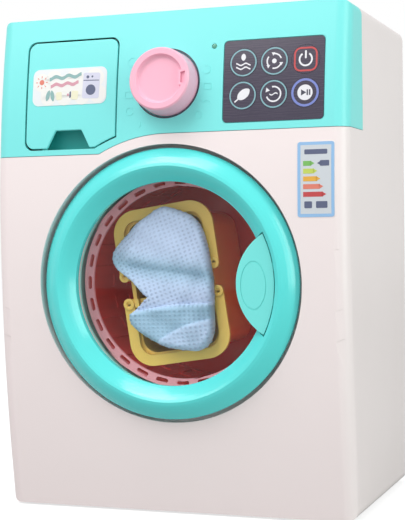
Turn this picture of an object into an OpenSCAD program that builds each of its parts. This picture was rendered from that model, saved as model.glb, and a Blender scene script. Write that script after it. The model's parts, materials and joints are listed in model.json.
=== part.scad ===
// Toy washing machine with a round door, a turning drum, a programme knob, six keys,
// a detergent drawer and a battery bay. Lengths are millimetres.
// X is to the right seen from the front, Y is to the back and Z is up.
// The node modules draw with y = 0 on the foremost line of the front and z = 0 under the cabinet;
// placed() then moves them, so that the origin lies under the middle of the whole part.

/* [Cabinet] */
// Width of the cabinet
body_w = 208; // [200:1:225]
// Height of the cabinet without its feet
body_h = 280; // [276:1:295]
// Depth from the foremost line of the front to the back
body_d = 146.5; // [144:0.5:165]
// Wall of the cabinet, the control fascia and the back cover
wall = 2.2; // [1.9:0.1:2.5]
// Rounding of the upright edges at the front
edge_r = 8; // [5:0.5:11]
// Rounding of the corners seen from the front
corner_r = 6; // [4:0.5:8]
// Height of the foremost line of the curved front
belly_z = 162.5; // [156:0.5:168]
// How far the front leans back at the bottom
lean_low = 13.5; // [11:0.5:15]
// How far the front leans back at the top
lean_top = 12; // [10:0.5:13.5]
// Radius of each rubber foot
foot_r = 7; // [5:0.5:9]
// How far the feet stand out under the cabinet
foot_out = 1.2; // [0.8:0.1:2]
// How far the feet are let into the bottom wall
foot_sunk = 1; // [0.6:0.1:1.2]
// Distance of the feet from the sides, the front and the back
foot_inset = 26; // [20:1:34]

/* [Control fascia] */
// Height of the fascia at the right of the front
fascia_h = 68.6; // [66:0.2:70]
// How much lower the fascia reaches at the left
fascia_drop = 10.2; // [9:0.2:11]
// How far the fascia wraps round the sides and the top
fascia_wrap = 36; // [32:0.5:40]
// Gap along every seam between the outer pieces
seam = 0.3; // [0.2:0.05:0.4]
// Width of the dark key overlay
overlay_w = 56.3; // [55:0.1:57.5]
// Height of the dark key overlay
overlay_h = 44.6; // [43.5:0.1:46]
// Distance of the overlay's right edge from the right side
overlay_in = 13.25; // [12:0.05:14.5]
// Distance of the overlay's middle below the top
overlay_down = 42; // [41:0.1:43]
// Thickness of the overlay
overlay_t = 0.6; // [0.4:0.1:0.8]
// Radius of each key
key_r = 7.75; // [7.2:0.05:8]
// Distance between the key columns
key_dx = 17.45; // [17.3:0.05:18]
// Distance between the key rows
key_dz = 17.9; // [17.4:0.05:18.6]
// Travel of each key
key_travel = 0.5; // [0.3:0.05:0.6]
// Radius of the status light
led_r = 1.35; // [1.1:0.05:1.6]
// Thickness of the circuit board
board_t = 1.6; // [1:0.1:2]

/* [Programme knob] */
// Radius of the knob at its base
knob_r = 18.3; // [17:0.1:19]
// Radius of the knob at its front
knob_front_r = 17.3; // [16:0.1:18]
// Height of the knob above the panel
knob_h = 12; // [9:0.5:14]
// Radius of the dished face
knob_dish_r = 13.4; // [12:0.1:14]
// Radius of the knob's stem
stem_r = 4; // [3:0.1:5]
// Depth of the round well that the knob stands in
well_d = 2; // [1:0.1:2.6]
// Number of clicks in a turn
clicks = 12; // [8:4:20]

/* [Detergent drawer] */
// Width of the drawer front
drawer_w = 55.4; // [53:0.1:56.5]
// Height of the drawer front
drawer_h = 61; // [59.5:0.1:61.5]
// Distance of the drawer's left edge from the left side
drawer_in = 19.5; // [18:0.1:21]
// Height of the detergent tray
tray_h = 26; // [20:1:34]
// Wall of the tray and its guide
tray_wall = 1.6; // [1.2:0.1:2]
// Travel of the drawer
drawer_travel = 40; // [30:1:44]

/* [Door] */
// Distance of the door's middle from the middle of the front
door_x = 1.2; // [0.5:0.1:2]
// Radius of the fascia's edge over the door
arc_r = 83.1; // [82.4:0.1:84]
// Outer radius of the door ring
ring_r = 75; // [74:0.1:75.8]
// Width of the ring's outer slope
slope_w = 10; // [9:0.1:11]
// Width of the ring's inner slope
throat_w = 8.4; // [8:0.1:9]
// How far the ridge stands in front of the cabinet
ridge_out = 3; // [2:0.1:4]
// Skin of the door ring
ring_skin = 1.8; // [1.4:0.1:2]
// Gap round the door ring
door_gap = 2.2; // [1.8:0.1:2.4]
// Depth of the floor that the door closes on
recess_d = 14; // [13.6:0.1:15]
// Distance of the hinge pin inside the ring's outer edge
hinge_inset = 7.8; // [7.4:0.1:8.2]
// Depth of the hinge pin behind the foremost line
hinge_y = 3; // [2.8:0.05:3.1]
// Radius of the hinge pin and of the handle's pin
pin_r = 1; // [0.9:0.05:1.05]
// Thickness of the window
window_t = 1.5; // [1.2:0.1:1.7]
// Bulge of the window
window_dome = 2; // [1.2:0.1:2.6]

/* [Drum and drive] */
// Outer radius of the drum
drum_r = 60; // [59:0.1:60.6]
// Depth that the drive takes behind the drum
drive_d = 55.5; // [52:0.5:60]
// Wall of the drum
drum_wall = 2; // [1.5:0.1:2.4]
// Width of the drum's front rim
drum_rim = 5.4; // [4.6:0.1:6]
// Number of slots round the drum's rim
rim_slots = 28; // [20:1:32]
// Number of panels round the drum's wall
wall_panels = 28; // [20:1:32]
// Inner radius of the fixed tub
tub_r = 62.5; // [62:0.1:63]
// Radius of the drum's shaft
shaft_r = 3; // [2.5:0.1:3.5]
// Module of the drive gears
gear_m = 1; // [0.95:0.01:1.05]
// Teeth of the drum gear
gear_teeth = 58; // [54:2:62]
// Teeth of the motor's pinion
pinion_teeth = 14; // [12:2:16]
// Thickness of the gears
gear_t = 5; // [4:0.5:5.5]
// Radius of the motor
motor_r = 10; // [8:0.5:11]
// Length of the motor
motor_l = 17; // [14:0.5:19]

/* [Back] */
// Radius of a battery cell
cell_r = 7.1; // [6.8:0.1:7.3]
// Length of a battery cell without its raised end
cell_l = 49.2; // [48:0.1:50]
// Number of battery cells
cells = 3; // [2:1:3]
// Radius of the loudspeaker
speaker_r = 20; // [16:1:24]
// Radius of the screws' shanks
screw_r = 1.3; // [1.1:0.05:1.5]

/* [Laundry basket] */
// Width of the basket's folded handles
basket_w = 61; // [58:0.5:62]
// Length of the basket's folded handles
basket_h = 90; // [86:0.5:91]
// Turn of the basket in the drum
basket_turn = 8.5; // [6:0.5:11]
// Distance of the basket's middle to the left of the drum's middle
basket_left = 6.6; // [6:0.1:7]
// Wall of the basket
basket_wall = 1.4; // [1:0.1:1.8]
// Width of the band of the folded handles
bail_w = 6.2; // [5.4:0.1:6.6]
// Thickness of the folded handles
bail_t = 2.4; // [2:0.1:2.8]

/* [Stickers] */
// Width of the tall sticker on the front
label_w = 20.1; // [18:0.1:22]
// Height of the tall sticker on the front
label_h = 39.8; // [37:0.1:42]
// Width of the sticker on the drawer
badge_w = 46; // [42:0.5:48]
// Height of the sticker on the drawer
badge_h = 21; // [18:0.5:23]
// Thickness of the stickers
sticker_t = 0.15; // [0.1:0.05:0.2]

/* [Hidden] */
$fn = 72;
eps = 0.01;
run_gap = 0.05;
r_low = arc_radius(belly_z, lean_low);
r_top = arc_radius(body_h - belly_z, lean_top);
in_wall = body_w / 2 - wall;
fascia_z = body_h - fascia_h;
door_z = fascia_z - arc_r;
drawer_x0 = -body_w / 2 + drawer_in;
// overlay and keys
overlay_x = body_w / 2 - overlay_in - overlay_w / 2;
overlay_z = body_h - overlay_down;
key_gap = 0.15;
key_flange = 0.7;
key_rows = [overlay_z + key_dz / 2 + 1.0, overlay_z - key_dz / 2 + 1.0];
key_cols = [overlay_x - key_dx + 0.4, overlay_x + 0.4, overlay_x + key_dx + 0.4];
KEY_NAMES = ["key_soak", "key_spin", "key_power", "key_leaf", "key_rounds", "key_start"];
key_boss_y = front_at(key_rows[0] + key_r + 1, wall) + 0.9;
key_flange_t = 1;
switch_h = 3.4;
board_y = key_boss_y + seam + key_flange_t + key_travel + 0.8 + switch_h;
board_w = overlay_w - 2;
board_h = overlay_h + 4;
board_post = [board_w / 2 - 3.2, board_h / 2 - 2.4];
led_x = overlay_x - overlay_w / 2 - 5.95;
led_z = overlay_z + 20.1;
// knob
knob_x = (drawer_x0 + drawer_w + overlay_x - overlay_w / 2) / 2 - 1.475;
knob_z = body_h - 41;
knob_lean = asin((knob_z - belly_z) / r_top);
knob_y = front_at(knob_z);
knob_gap = 0.7;
knob_edge = 0.6;
stem_len = 17;
wheel_r = 9.5;
wheel_t = 3;
reach = knob_h * cos(knob_lean) + (knob_front_r - knob_edge) * sin(knob_lean) - knob_y;
front_y = -(body_d - reach) / 2;
// drawer
drawer_z0 = fascia_z - 6.2;
drawer_r = 5;
drawer_gap = 0.9;
tray_gap = 0.4;
tray_x0 = drawer_x0 + 3.4;
tray_x1 = drawer_x0 + drawer_w - 3.8;
tray_z0 = drawer_z0 + 13.2;
tray_front = 12.5;
tray_y1 = tray_front + drawer_travel + 6;
notch_h = 10;
notch_x = drawer_x0 + 26.5;
pocket_w = 32.8;
pocket_y = 10.4;
// door
ridge_r = ring_r - slope_w;
view_r = ridge_r - throat_w;
hinge_x = ring_r - hinge_inset;
recess_r = ring_r + door_gap;
floor_t = 2;
mouth_r = view_r + 3;
rim_y = 3.7;
back_y = 6.2;
view_y = 4;
seat_y = view_y + ring_skin + 0.6;
window_r = view_r + 2.6;
retainer_t = 1.4;
retainer_r = ridge_r + 3.4;
retainer_y = seat_y + window_t + 0.1;
boss_at = ridge_r - 0.4;
hinge_arm = 3;
hinge_in = 8;
hinge_top = 15;
hinge_foot_x = 5;
hinge_foot_y = 4;
step_r = ridge_r - 2;
grip_gap = 0.8;
grip_tip = 28.2;
grip_bulge = 40;
grip_t = 2;
grip_y = -1;
grip_pin = [step_r - 2.1, 2.9];
catch_x = step_r + 1.4;
tongue_y = 10;
grip_arm_z = 9.5;
// drum
drum_y = 24;
drum_d = body_d - drum_y - drive_d;
drum_rim_t = 2;
drum_back = 2.2;
drum_y1 = drum_y + drum_d;
hub_r = 9;
hub_d = 9;
tub_wall = 1.8;
tub_y1 = drum_y1 + 3;
tub_back = 2.5;
bush_r = 5;
bush_out = 4.5;
gear_y = tub_y1 + tub_back + bush_out + 0.5;
axle_gap = gear_m * (gear_teeth + pinion_teeth) / 2;
motor_shaft_r = 1;
mount_y = gear_y + gear_t + 1;
mount_t = 2;
gearbox_t = 12;
post_dz = 16;
ear_r = tub_r + tub_wall + 6;
ear_y = recess_d + floor_t + 8;
// back
back_in = body_d - wall;
cell_pitch = 2 * cell_r + 1.2;
bay_w = cell_l + 13;
bay_h = cells * cell_pitch + 2.4;
bay_z = 22;
box_wall = 1.6;
box_depth = 2 * cell_r + 3.4;
lid_pin = [2.5, 2.5];
lid_barrel = 2.4;
lid_gap = 0.3;
screw_head = 2.6;
head_t = 1.3;
boss_r = 3.6;
speaker_at = [-body_w / 2 + 52, body_h - 70];
COVER_SCREWS = [for (x = [-1, 1], z = [14, body_h / 2, body_h - 14]) [x * (body_w / 2 - 9), z]];
FASCIA_SCREWS = [[-12, fascia_z + 8], [20, fascia_z + 6.5], [body_w / 2 - 9, fascia_z + 5]];
flange_y = recess_d;
flange_t = 2;
// basket
bail_y = drum_y + 0.6;
basket_y = bail_y + bail_t + 0.4;
basket_d = drum_y1 - hub_d - basket_y;
basket_at = [door_x - basket_left, door_z - 0.7];
bail_r = 14;
lug_z = 8;
lug_w = 2.6;
bail_pin_y = bail_y + bail_t / 2;
label_at = [body_w / 2 - 17.2, fascia_z - 27.7];
badge_at = [drawer_x0 + drawer_w / 2 - 1.2, drawer_z0 + 35];
CLOTH = [[-2, 43], [18, 31], [23.5, 10], [24, -18], [19, -33], [11, -36], [-10, -33], [-24, -22],
    [-23, -14], [-17, -12], [-25, 3], [-31.5, 9], [-31, 20], [-20, 31]];
CLOTH_MIDDLE = [1, 3];
cloth_back = bail_y - 0.5;
cloth_crown = 7.5;
cloth_sunk = 12;

function arc_radius(height, lean) = (height * height + lean * lean) / (2 * lean);

// Depth of the curved front at a height, or of a surface that lies inset behind it
function front_at(z, inset = 0) =
    let (r = z < belly_z ? r_low : r_top)
    r - sqrt(pow(r - inset, 2) - pow(z - belly_z, 2));

module placed() translate([0, front_y, foot_out]) children();

// An outline drawn in X and Z, from depth y0 to depth y1
module along_y(y0, y1) translate([0, y1, 0]) rotate([90, 0, 0]) linear_extrude(y1 - y0) children();

// An outline drawn in X and Y, from height z0 to height z1
module along_z(z0, z1) translate([0, 0, z0]) linear_extrude(z1 - z0) children();

module rod_y(x, z, y0, y1, r) translate([x, y0, z]) rotate([-90, 0, 0]) cylinder(r = r, h = y1 - y0);

module rod_x(y, z, x0, x1, r) translate([x0, y, z]) rotate([0, 90, 0]) cylinder(r = r, h = x1 - x0);

module rod_z(x, y, z0, z1, r) translate([x, y, z0]) cylinder(r = r, h = z1 - z0);

module box_between(low, high) translate(low) cube(high - low);

// A profile drawn in radius and depth, turned round the axis of the door and the drum
module spun() translate([door_x, 0, door_z]) rotate([-90, 0, 0]) rotate_extrude($fn = 144) children();

module round_rect(w, h, r) {
    square([w - 2 * r, h], center = true);
    square([w, h - 2 * r], center = true);
    for (x = [-1, 1], y = [-1, 1]) translate([x * (w / 2 - r), y * (h / 2 - r)]) circle(r, $fn = 48);
}

// A bar with round ends between two points
module bar(p, q, w) {
    long = norm(q - p);
    translate(p) rotate(atan2(q[1] - p[1], q[0] - p[0])) {
        translate([0, -w / 2]) square([long, w]);
        circle(w / 2, $fn = 32);
        translate([long, 0]) circle(w / 2, $fn = 32);
    }
}

// One half of the curved front: a slab with rounded front edges, swept about an axis along X
module curved_half(inset, r, tall, upper) {
    deep = body_d + 2;
    half_w = body_w / 2 - inset;
    c = max(edge_r - inset, 0.8);
    span = asin((tall + 2) / (r - deep));
    translate([0, r, belly_z])
        rotate([upper ? 90 : -90, 0, 0]) rotate([0, upper ? -90 : 90, 0])
            rotate_extrude(angle = span, $fn = 256)
                translate([r - inset, 0]) {
                    translate([-deep, -half_w]) square([deep - c, 2 * half_w]);
                    translate([-deep, -half_w + c]) square([deep, 2 * (half_w - c)]);
                    for (s = [-1, 1]) translate([-c, s * (half_w - c)]) circle(c, $fn = 48);
                }
}

// The whole outer form of the machine, or that form drawn in by an inset
module block(inset, back = 0) intersection() {
    union() {
        curved_half(inset, r_low, belly_z, false);
        curved_half(inset, r_top, body_h - belly_z, true);
    }
    along_y(-2, body_d - inset + back)
        translate([0, body_h / 2])
            round_rect(body_w - 2 * inset, body_h - 2 * inset, max(corner_r - inset, 0.8));
}

// The part of the front view that the fascia covers, grown or shrunk by a margin
module fascia_view(margin) difference() {
    translate([-body_w, fascia_z - fascia_drop - margin]) square([2 * body_w, body_h]);
    translate([door_x, door_z]) circle(arc_r - margin, $fn = 144);
    translate([door_x, fascia_z - margin - 40]) square([body_w, 40]);
}

module drawer_view(grow) {
    cut = arc_r + 4.9 - grow;
    difference() {
        translate([drawer_x0 + drawer_w / 2, drawer_z0 + drawer_h / 2])
            round_rect(drawer_w + 2 * grow, drawer_h + 2 * grow, drawer_r);
        translate([door_x, door_z]) circle(cut, $fn = 144);
    }
}

module notch_view(grow) {
    x = notch_x;
    polygon([[x - 13.2 - grow, drawer_z0 - 5], [x - 13.2 - grow, drawer_z0], [x - 8 - grow, drawer_z0 + notch_h + grow],
        [x + 8 + grow, drawer_z0 + notch_h + grow], [x + 13.2 + grow, drawer_z0], [x + 13.2 + grow, drawer_z0 - 5]]);
}

// A thin skin of the front's form between two insets
module skin(outer, inner) intersection() {
    difference() {
        block(outer);
        block(inner, inner + 2);
    }
    along_y(-3, 30) children();
}

module boss(x, z, y0, y1) difference() {
    rod_y(x, z, y0, y1, boss_r);
    rod_y(x, z, y1 - 9, y1 + 1, screw_r);
}

// A screw whose head lies at depth y and whose shank points to the front
module screw(x, z, y, long) {
    rod_y(x, z, y - long, y, screw_r - eps);
    difference() {
        rod_y(x, z, y, y + head_t, screw_head);
        translate([x, y + head_t - 0.4, z]) box_between([-2, 0, -0.3], [2, 1, 0.3]);
        translate([x, y + head_t - 0.4, z]) box_between([-0.3, 0, -2], [0.3, 1, 2]);
    }
}

module cabinet_body() color("snow") placed() difference() {
    union() {
        difference() {
            block(0);
            block(wall, wall + 2);
            along_y(-3, fascia_wrap + seam) fascia_view(seam);
            rod_y(door_x, door_z, -3, 20, recess_r);
        }
        intersection() {
            block(0);
            spun() {
                translate([recess_r, -2]) square([2, recess_d + floor_t + 2]);
                translate([mouth_r, recess_d]) square([recess_r + 1 - mouth_r, floor_t]);
            }
        }
        fascia_flange();
        seam_lip();
        for (p = COVER_SCREWS) intersection() {
            block(wall / 2);
            translate([p[0], 0, p[1]]) {
                rod_y(0, 0, body_d - 26, back_in, boss_r);
                box_between([p[0] > 0 ? 0 : -8, body_d - 26, -1.5], [p[0] > 0 ? 8 : 0, back_in - 0.2, 1.5]);
            }
        }
        for (a = [45 : 90 : 315])
            rod_y(door_x + ear_r * cos(a), door_z + ear_r * sin(a), recess_d + floor_t - eps, ear_y, boss_r);
    }
    for (p = COVER_SCREWS) rod_y(p[0], p[1], body_d - 20, body_d, screw_r);
    for (a = [45 : 90 : 315])
        rod_y(door_x + ear_r * cos(a), door_z + ear_r * sin(a), ear_y - 7, ear_y + 1, screw_r);
    for (x = [-1, 1], y = [lean_low + foot_inset, body_d - foot_inset])
        rod_z(x * (body_w / 2 - foot_inset), y, -1, foot_sunk, foot_r + 0.1);
}

// A wall inside the cabinet that carries the lower edge of the fascia
module fascia_flange() difference() {
    along_y(flange_y, flange_y + flange_t) difference() {
        translate([-in_wall - 0.5, fascia_z - 22]) square([2 * in_wall + 1, 34]);
        translate([door_x, door_z]) circle(recess_r + 1, $fn = 144);
        translate([drawer_x0 - 6, drawer_z0 - 4]) square([drawer_w + 9, fascia_h]);
        translate([overlay_x - board_post[0] - 4, fascia_z + 1]) square([2 * board_post[0] + 8, fascia_h]);
        difference() {
            fascia_view(seam);
            square([2 * in_wall - 2 * seam, 4 * body_h], center = true);
        }
    }
    for (p = FASCIA_SCREWS) rod_y(p[0], p[1], flange_y - 1, flange_y + 5, screw_r + 0.3);
}

// A lip behind the fascia's rear edge, round the sides and the top
module seam_lip() intersection() {
    union() {
        difference() {
            block(wall / 2);
            block(wall + 1.4, wall + 4);
            translate([0, -5, 0]) box_between([-body_w, 0, -1], [body_w, fascia_wrap + seam + 5.5, body_h]);
        }
        difference() {
            block(wall + 0.2);
            block(wall + 1.4, wall + 4);
        }
    }
    box_between([-body_w, fascia_wrap - 5, fascia_z + 14], [body_w, fascia_wrap + 5, body_h]);
}

module back_cover() color("whitesmoke") placed() difference() {
    union() {
        along_y(back_in, body_d) translate([0, body_h / 2])
            round_rect(2 * in_wall - 2 * seam, body_h - 2 * wall - 2 * seam, max(corner_r - wall - seam, 0.8));
        for (s = [-1, 1]) translate([s * (bay_w / 2 + 2.2), 0, bay_z + lid_pin[1]])
            box_between([-2, body_d - 5.2, -3.4], [2, body_d - 0.5, 3.4]);
        rod_y(0, lid_screw_z(), body_d - 9, body_d - wall - 0.8, boss_r);
        box_between([-8, body_d - wall - 3, lid_screw_z() - 3.2], [8, body_d - wall + 0.5, lid_screw_z() + 8]);
        spun_speaker() translate([speaker_r + 0.3, -3]) square([1.6, 3 + eps]);
    }
    along_y(body_d - wall - 1, body_d + 1) {
        translate([-bay_w / 2, bay_z]) square([bay_w, bay_h]);
        translate([-5.6, bay_z + bay_h - 1]) square([11.2, 12]);
    }
    translate([-bay_w / 2, body_d - 12, bay_z - 1]) cube([bay_w, 13, 7]);
    rod_x(body_d - lid_pin[0], bay_z + lid_pin[1], -bay_w / 2 - 3.6, bay_w / 2 + 3.6, pin_r + run_gap);
    rod_y(0, lid_screw_z(), body_d - 10, body_d, screw_r + 0.6);
    for (p = COVER_SCREWS) {
        rod_y(p[0], p[1], back_in - 1, body_d + 1, screw_r + 0.3);
        rod_y(p[0], p[1], body_d - head_t - 0.1, body_d + 1, screw_head + 0.3);
    }
    for (n = [0 : 2], k = [0 : max(6 * n - 1, 0)]) {
        a = n == 0 ? 0 : 60 * k / n;
        rod_y(speaker_at[0] + 5.6 * n * cos(a), speaker_at[1] + 5.6 * n * sin(a), back_in - 1, body_d + 1, 1.4);
    }
}

function lid_screw_z() = bay_z + bay_h + 5.4;

module spun_speaker() translate([speaker_at[0], back_in, speaker_at[1]]) rotate([-90, 0, 0])
    rotate_extrude() children();

module cover_screws() color("silver") placed()
    for (p = COVER_SCREWS) screw(p[0], p[1], body_d - head_t - 0.1, 14);

module foot_pads() color("dimgray") placed()
    for (x = [-1, 1], y = [lean_low + foot_inset, body_d - foot_inset])
        translate([x * (body_w / 2 - foot_inset), y, -foot_out])
            rotate_extrude() polygon([[0, 0], [foot_r - 0.6, 0], [foot_r, 0.6], [foot_r, foot_out + foot_sunk],
                [0, foot_out + foot_sunk]]);

module knob_frame() translate([knob_x, knob_y, knob_z]) rotate([-knob_lean, 0, 0]) children();

module control_fascia() color("turquoise") placed() difference() {
    union() {
        intersection() {
            difference() {
                block(0);
                block(wall, wall + 2);
                along_y(-5, 14) drawer_view(drawer_gap);
            }
            along_y(-3, fascia_wrap) fascia_view(0);
        }
        intersection() {
            block(wall / 2);
            union() {
                for (p = FASCIA_SCREWS) rod_y(p[0], p[1], 0, flange_y, boss_r);
                for (x = key_cols, z = key_rows) rod_y(x, z, 0, key_boss_y, key_r + key_flange);
                for (x = [-1, 1], z = [-1, 1])
                    rod_y(overlay_x + x * board_post[0], overlay_z + z * board_post[1], 0, board_y, 2.4);
                knob_frame() rod_y(0, 0, 0, well_d + 8, stem_r + 3);
                knob_frame() rod_y(0, 0, 0, well_d + 2, knob_r + knob_gap + 1.6);
                knob_frame() rod_y(spring_x(), 0, 0, well_d + 9, 2.4);
                led_tube();
                finger_pocket();
            }
        }
    }
    along_y(-5, 5.2) drawer_view(drawer_gap);
    intersection() {
        difference() {
            block(-1);
            block(overlay_t + 0.2, 2);
        }
        along_y(-5, 25) translate([overlay_x, overlay_z]) round_rect(overlay_w + 0.8, overlay_h + 0.8, 2.6);
    }
    for (x = key_cols, z = key_rows) rod_y(x, z, -5, key_boss_y + 1, key_r + key_gap);
    knob_frame() {
        rod_y(0, 0, -6, well_d, knob_r + knob_gap);
        rod_y(0, 0, -1, well_d + 9, stem_r + run_gap);
        rod_y(spring_x(), 0, well_d + 4, well_d + 10, screw_r - 0.3);
    }
    rod_y(led_x, led_z, -5, board_y, led_r + 0.1);
    for (x = [-1, 1], z = [-1, 1])
        rod_y(overlay_x + x * board_post[0], overlay_z + z * board_post[1], board_y - 4, board_y + 1, screw_r - 0.3);
    for (p = FASCIA_SCREWS) rod_y(p[0], p[1], flange_y - 8, flange_y + 1, screw_r);
}

function spring_x() = -wheel_r - 5;

module led_tube() rod_y(led_x, led_z, 0, board_y - 4.4, led_r + 1.5);

// The pocket behind the finger notch of the drawer
module finger_pocket() difference() {
    half = pocket_w / 2;
    box_between([notch_x - half - 1.6, 0, drawer_z0 - 2.5],
        [notch_x + half + 1.6, pocket_y + 1.6, tray_z0 - tray_wall - tray_gap - 0.6]);
    box_between([notch_x - half, -1, drawer_z0 - drawer_gap], [notch_x + half, pocket_y, tray_z0 + 5]);
}

module fascia_screws() color("silver") placed()
    for (p = FASCIA_SCREWS) screw(p[0], p[1], flange_y + flange_t, 9);

module key_overlay() color("#5a5064") placed() difference() {
    skin(0.1, overlay_t + 0.1) translate([overlay_x, overlay_z]) round_rect(overlay_w, overlay_h, 2.2);
    for (x = key_cols, z = key_rows) rod_y(x, z, -5, 30, key_r + key_gap);
}

module key(x, z) color("#6a6076") placed() {
    intersection() {
        block(0);
        rod_y(x, z, 0, key_boss_y + seam + eps, key_r);
    }
    rod_y(x, z, key_boss_y + seam, key_boss_y + seam + key_flange_t, key_r + key_flange - 0.05);
    rod_y(x, z, key_boss_y + seam, board_y - switch_h - key_travel - 0.1, 1.6);
}

module led_lens() color("limegreen") placed() translate([led_x, front_at(led_z) - 0.4, led_z])
    rotate([-90, 0, 0]) rotate_extrude()
        polygon([[0, 0], [led_r * 0.55, 0.12], [led_r * 0.9, 0.45], [led_r, 1], [led_r, 4], [0, 4]]);

module circuit_board() color("seagreen") placed() difference() {
    along_y(board_y, board_y + board_t) difference() {
        translate([led_x - 4, overlay_z - board_h / 2]) square([overlay_x + board_w / 2 - led_x + 4, board_h]);
        translate([led_x - 10, overlay_z - board_h / 2 - 1])
            square([overlay_x - board_w / 2 - led_x + 10, board_h - 10]);
    }
    for (x = [-1, 1], z = [-1, 1])
        rod_y(overlay_x + x * board_post[0], overlay_z + z * board_post[1], board_y - 1, board_y + 3, screw_r + 0.1);
}

module key_switches() color("dimgray") placed()
    for (x = key_cols, z = key_rows) translate([x, 0, z]) {
        box_between([-3, board_y - switch_h + 0.6, -3], [3, board_y, 3]);
        rod_y(0, 0, board_y - switch_h, board_y - switch_h + 1, 1.5);
    }

module board_parts() color("#202024") placed() {
    rod_y(led_x, led_z, board_y - 4, board_y, led_r);
    translate([overlay_x, board_y + board_t, overlay_z]) {
        box_between([-9, 0, -9], [9, 1.6, 9]);
        rod_y(20, 6, 0, 9, 3);
        rod_y(20, -8, 0, 7, 2.5);
        for (x = [-22 : 5 : -12]) box_between([x, 0, -4], [x + 2.4, 1.2, 1]);
        box_between([-22, 0, 10], [-10, 6, 15]);
    }
}

module board_screws() color("silver") placed()
    for (x = [-1, 1], z = [-1, 1])
        translate([overlay_x + x * board_post[0], 0, overlay_z + z * board_post[1]]) {
            rod_y(0, 0, board_y - 3.5, board_y + board_t, screw_r - 0.3 - eps);
            rod_y(0, 0, board_y + board_t, board_y + board_t + 1.2, screw_head - 0.6);
        }

module program_knob() color("lightpink") placed() knob_frame() difference() {
    union() {
        rotate([90, 0, 0]) rotate_extrude($fn = 96) polygon([[0, -well_d + 0.3], [knob_r, -well_d + 0.3],
            [knob_r, 0], [knob_front_r + 0.2, knob_h - 0.8], [knob_front_r - knob_edge, knob_h],
            [knob_dish_r + 0.4, knob_h], [knob_dish_r, knob_h - 0.4], [knob_dish_r - 0.4, knob_h - 1.4],
            [knob_dish_r - 1.6, knob_h - 2.2], [0, knob_h - 2.4]]);
        rod_y(0, 0, 0, stem_len, stem_r);
        along_y(-knob_h, -knob_h + 3) pointer_view(0);
    }
    along_y(-knob_h - 1, -knob_h + 1.3) pointer_view(1.2);
    rod_y(0, 0, stem_len - 8, stem_len + 1, screw_r);
}

// The pointer on the knob: a block in the rim with a pocket in its face
module pointer_view(shrink) polygon([[knob_dish_r - 2 + shrink, -4 + shrink], [knob_front_r - 1 - shrink, -4.7 + shrink],
    [knob_front_r - 1 - shrink, 4.7 - shrink], [knob_dish_r - 2 + shrink, 4 - shrink]]);

module click_wheel() color("ivory") placed() knob_frame() difference() {
    rod_y(0, 0, well_d + 8.3, well_d + 8.3 + wheel_t, wheel_r);
    rod_y(0, 0, 0, stem_len + 1, stem_r);
    for (k = [0 : clicks - 1]) rotate([0, k * 360 / clicks, 0])
        rod_y(-wheel_r - 0.5, 0, 0, stem_len + 4, 1.5);
}

module click_spring() color("silver") placed() knob_frame() difference() {
    union() {
        rod_y(spring_x(), 0, well_d + 9, well_d + 9.6, 2.6);
        box_between([spring_x() - 0.3, well_d + 9, 0], [spring_x() + 0.3, well_d + 11, 12]);
        box_between([spring_x() - 0.3, well_d + 9, 11.4], [-wheel_r + 1.6, well_d + 11, 12]);
    }
    rod_y(spring_x(), 0, 0, well_d + 12, screw_r - 0.3);
}

module knob_screw() color("silver") placed() knob_frame() {
    rod_y(0, 0, stem_len - 7, stem_len, screw_r - eps);
    rod_y(0, 0, stem_len, stem_len + 1.6, stem_r + 1.6);
}

module drawer_front() color("turquoise") placed() difference() {
    skin(0, wall) drawer_view(0);
    along_y(-5, 30) notch_view(0);
}

module detergent_tray() color("paleturquoise") placed() difference() {
    intersection() {
        block(wall, 5);
        union() {
            box_between([tray_x0, -1, tray_z0], [tray_x1, tray_y1, tray_z0 + tray_h]);
            box_between([tray_x0, -1, tray_z0], [tray_x1, tray_front + tray_wall, drawer_z0 + drawer_h - 6]);
        }
    }
    box_between([tray_x0 + tray_wall, tray_front + tray_wall, tray_z0 + tray_wall],
        [tray_x1 - tray_wall, tray_y1 - tray_wall, tray_z0 + tray_h + 1]);
    box_between([tray_x0 + tray_wall, -2, tray_z0 + tray_wall],
        [tray_x1 - tray_wall, tray_front, drawer_z0 + drawer_h - 6 - tray_wall]);
}

// The sleeve that the tray runs in, which stands on the back of the fascia
module drawer_guide() color("lightcyan") placed() difference() {
    intersection() {
        block(wall, 5);
        box_between([tray_x0 - tray_gap - tray_wall, -1, tray_z0 - tray_gap - tray_wall],
            [tray_x1 + tray_gap + tray_wall, tray_y1 + 4, drawer_z0 + drawer_h + drawer_gap + 1.6 + tray_wall]);
    }
    box_between([tray_x0 - tray_gap, -2, tray_z0 - tray_gap],
        [tray_x1 + tray_gap, tray_y1 + 4 - tray_wall, drawer_z0 + drawer_h + drawer_gap + 1.6]);
    box_between([tray_x0 - tray_gap, tray_front + 8, tray_z0 + tray_h + 6],
        [tray_x1 + tray_gap + 9, tray_y1 + 9, body_h]);
    along_y(-5, tray_front) drawer_view(drawer_gap);
}

module drawer_badge() color("white") placed() skin(-sticker_t, 0)
    translate(badge_at) round_rect(badge_w, badge_h, 4);

module front_label() color("lightblue") placed() skin(-sticker_t, 0)
    translate(label_at) round_rect(label_w, label_h, 1.2);

// Depth of the ring's front face at a radius: a bowed outer slope, a ridge and a hollow inner slope
function ring_y(r) = r > ridge_r
    ? -ridge_out + (rim_y + ridge_out) * pow((r - ridge_r) / (ring_r - ridge_r), 1.5)
    : -ridge_out + (view_y + ridge_out) * pow((ridge_r - r) / (ridge_r - view_r), 1.3);
ring_steps = 6;
RING_RADII = concat([for (k = [0 : ring_steps]) ring_r + (ridge_r - ring_r) * k / ring_steps],
    [for (k = [1 : ring_steps]) ridge_r + (view_r - ridge_r) * k / ring_steps]);

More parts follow.
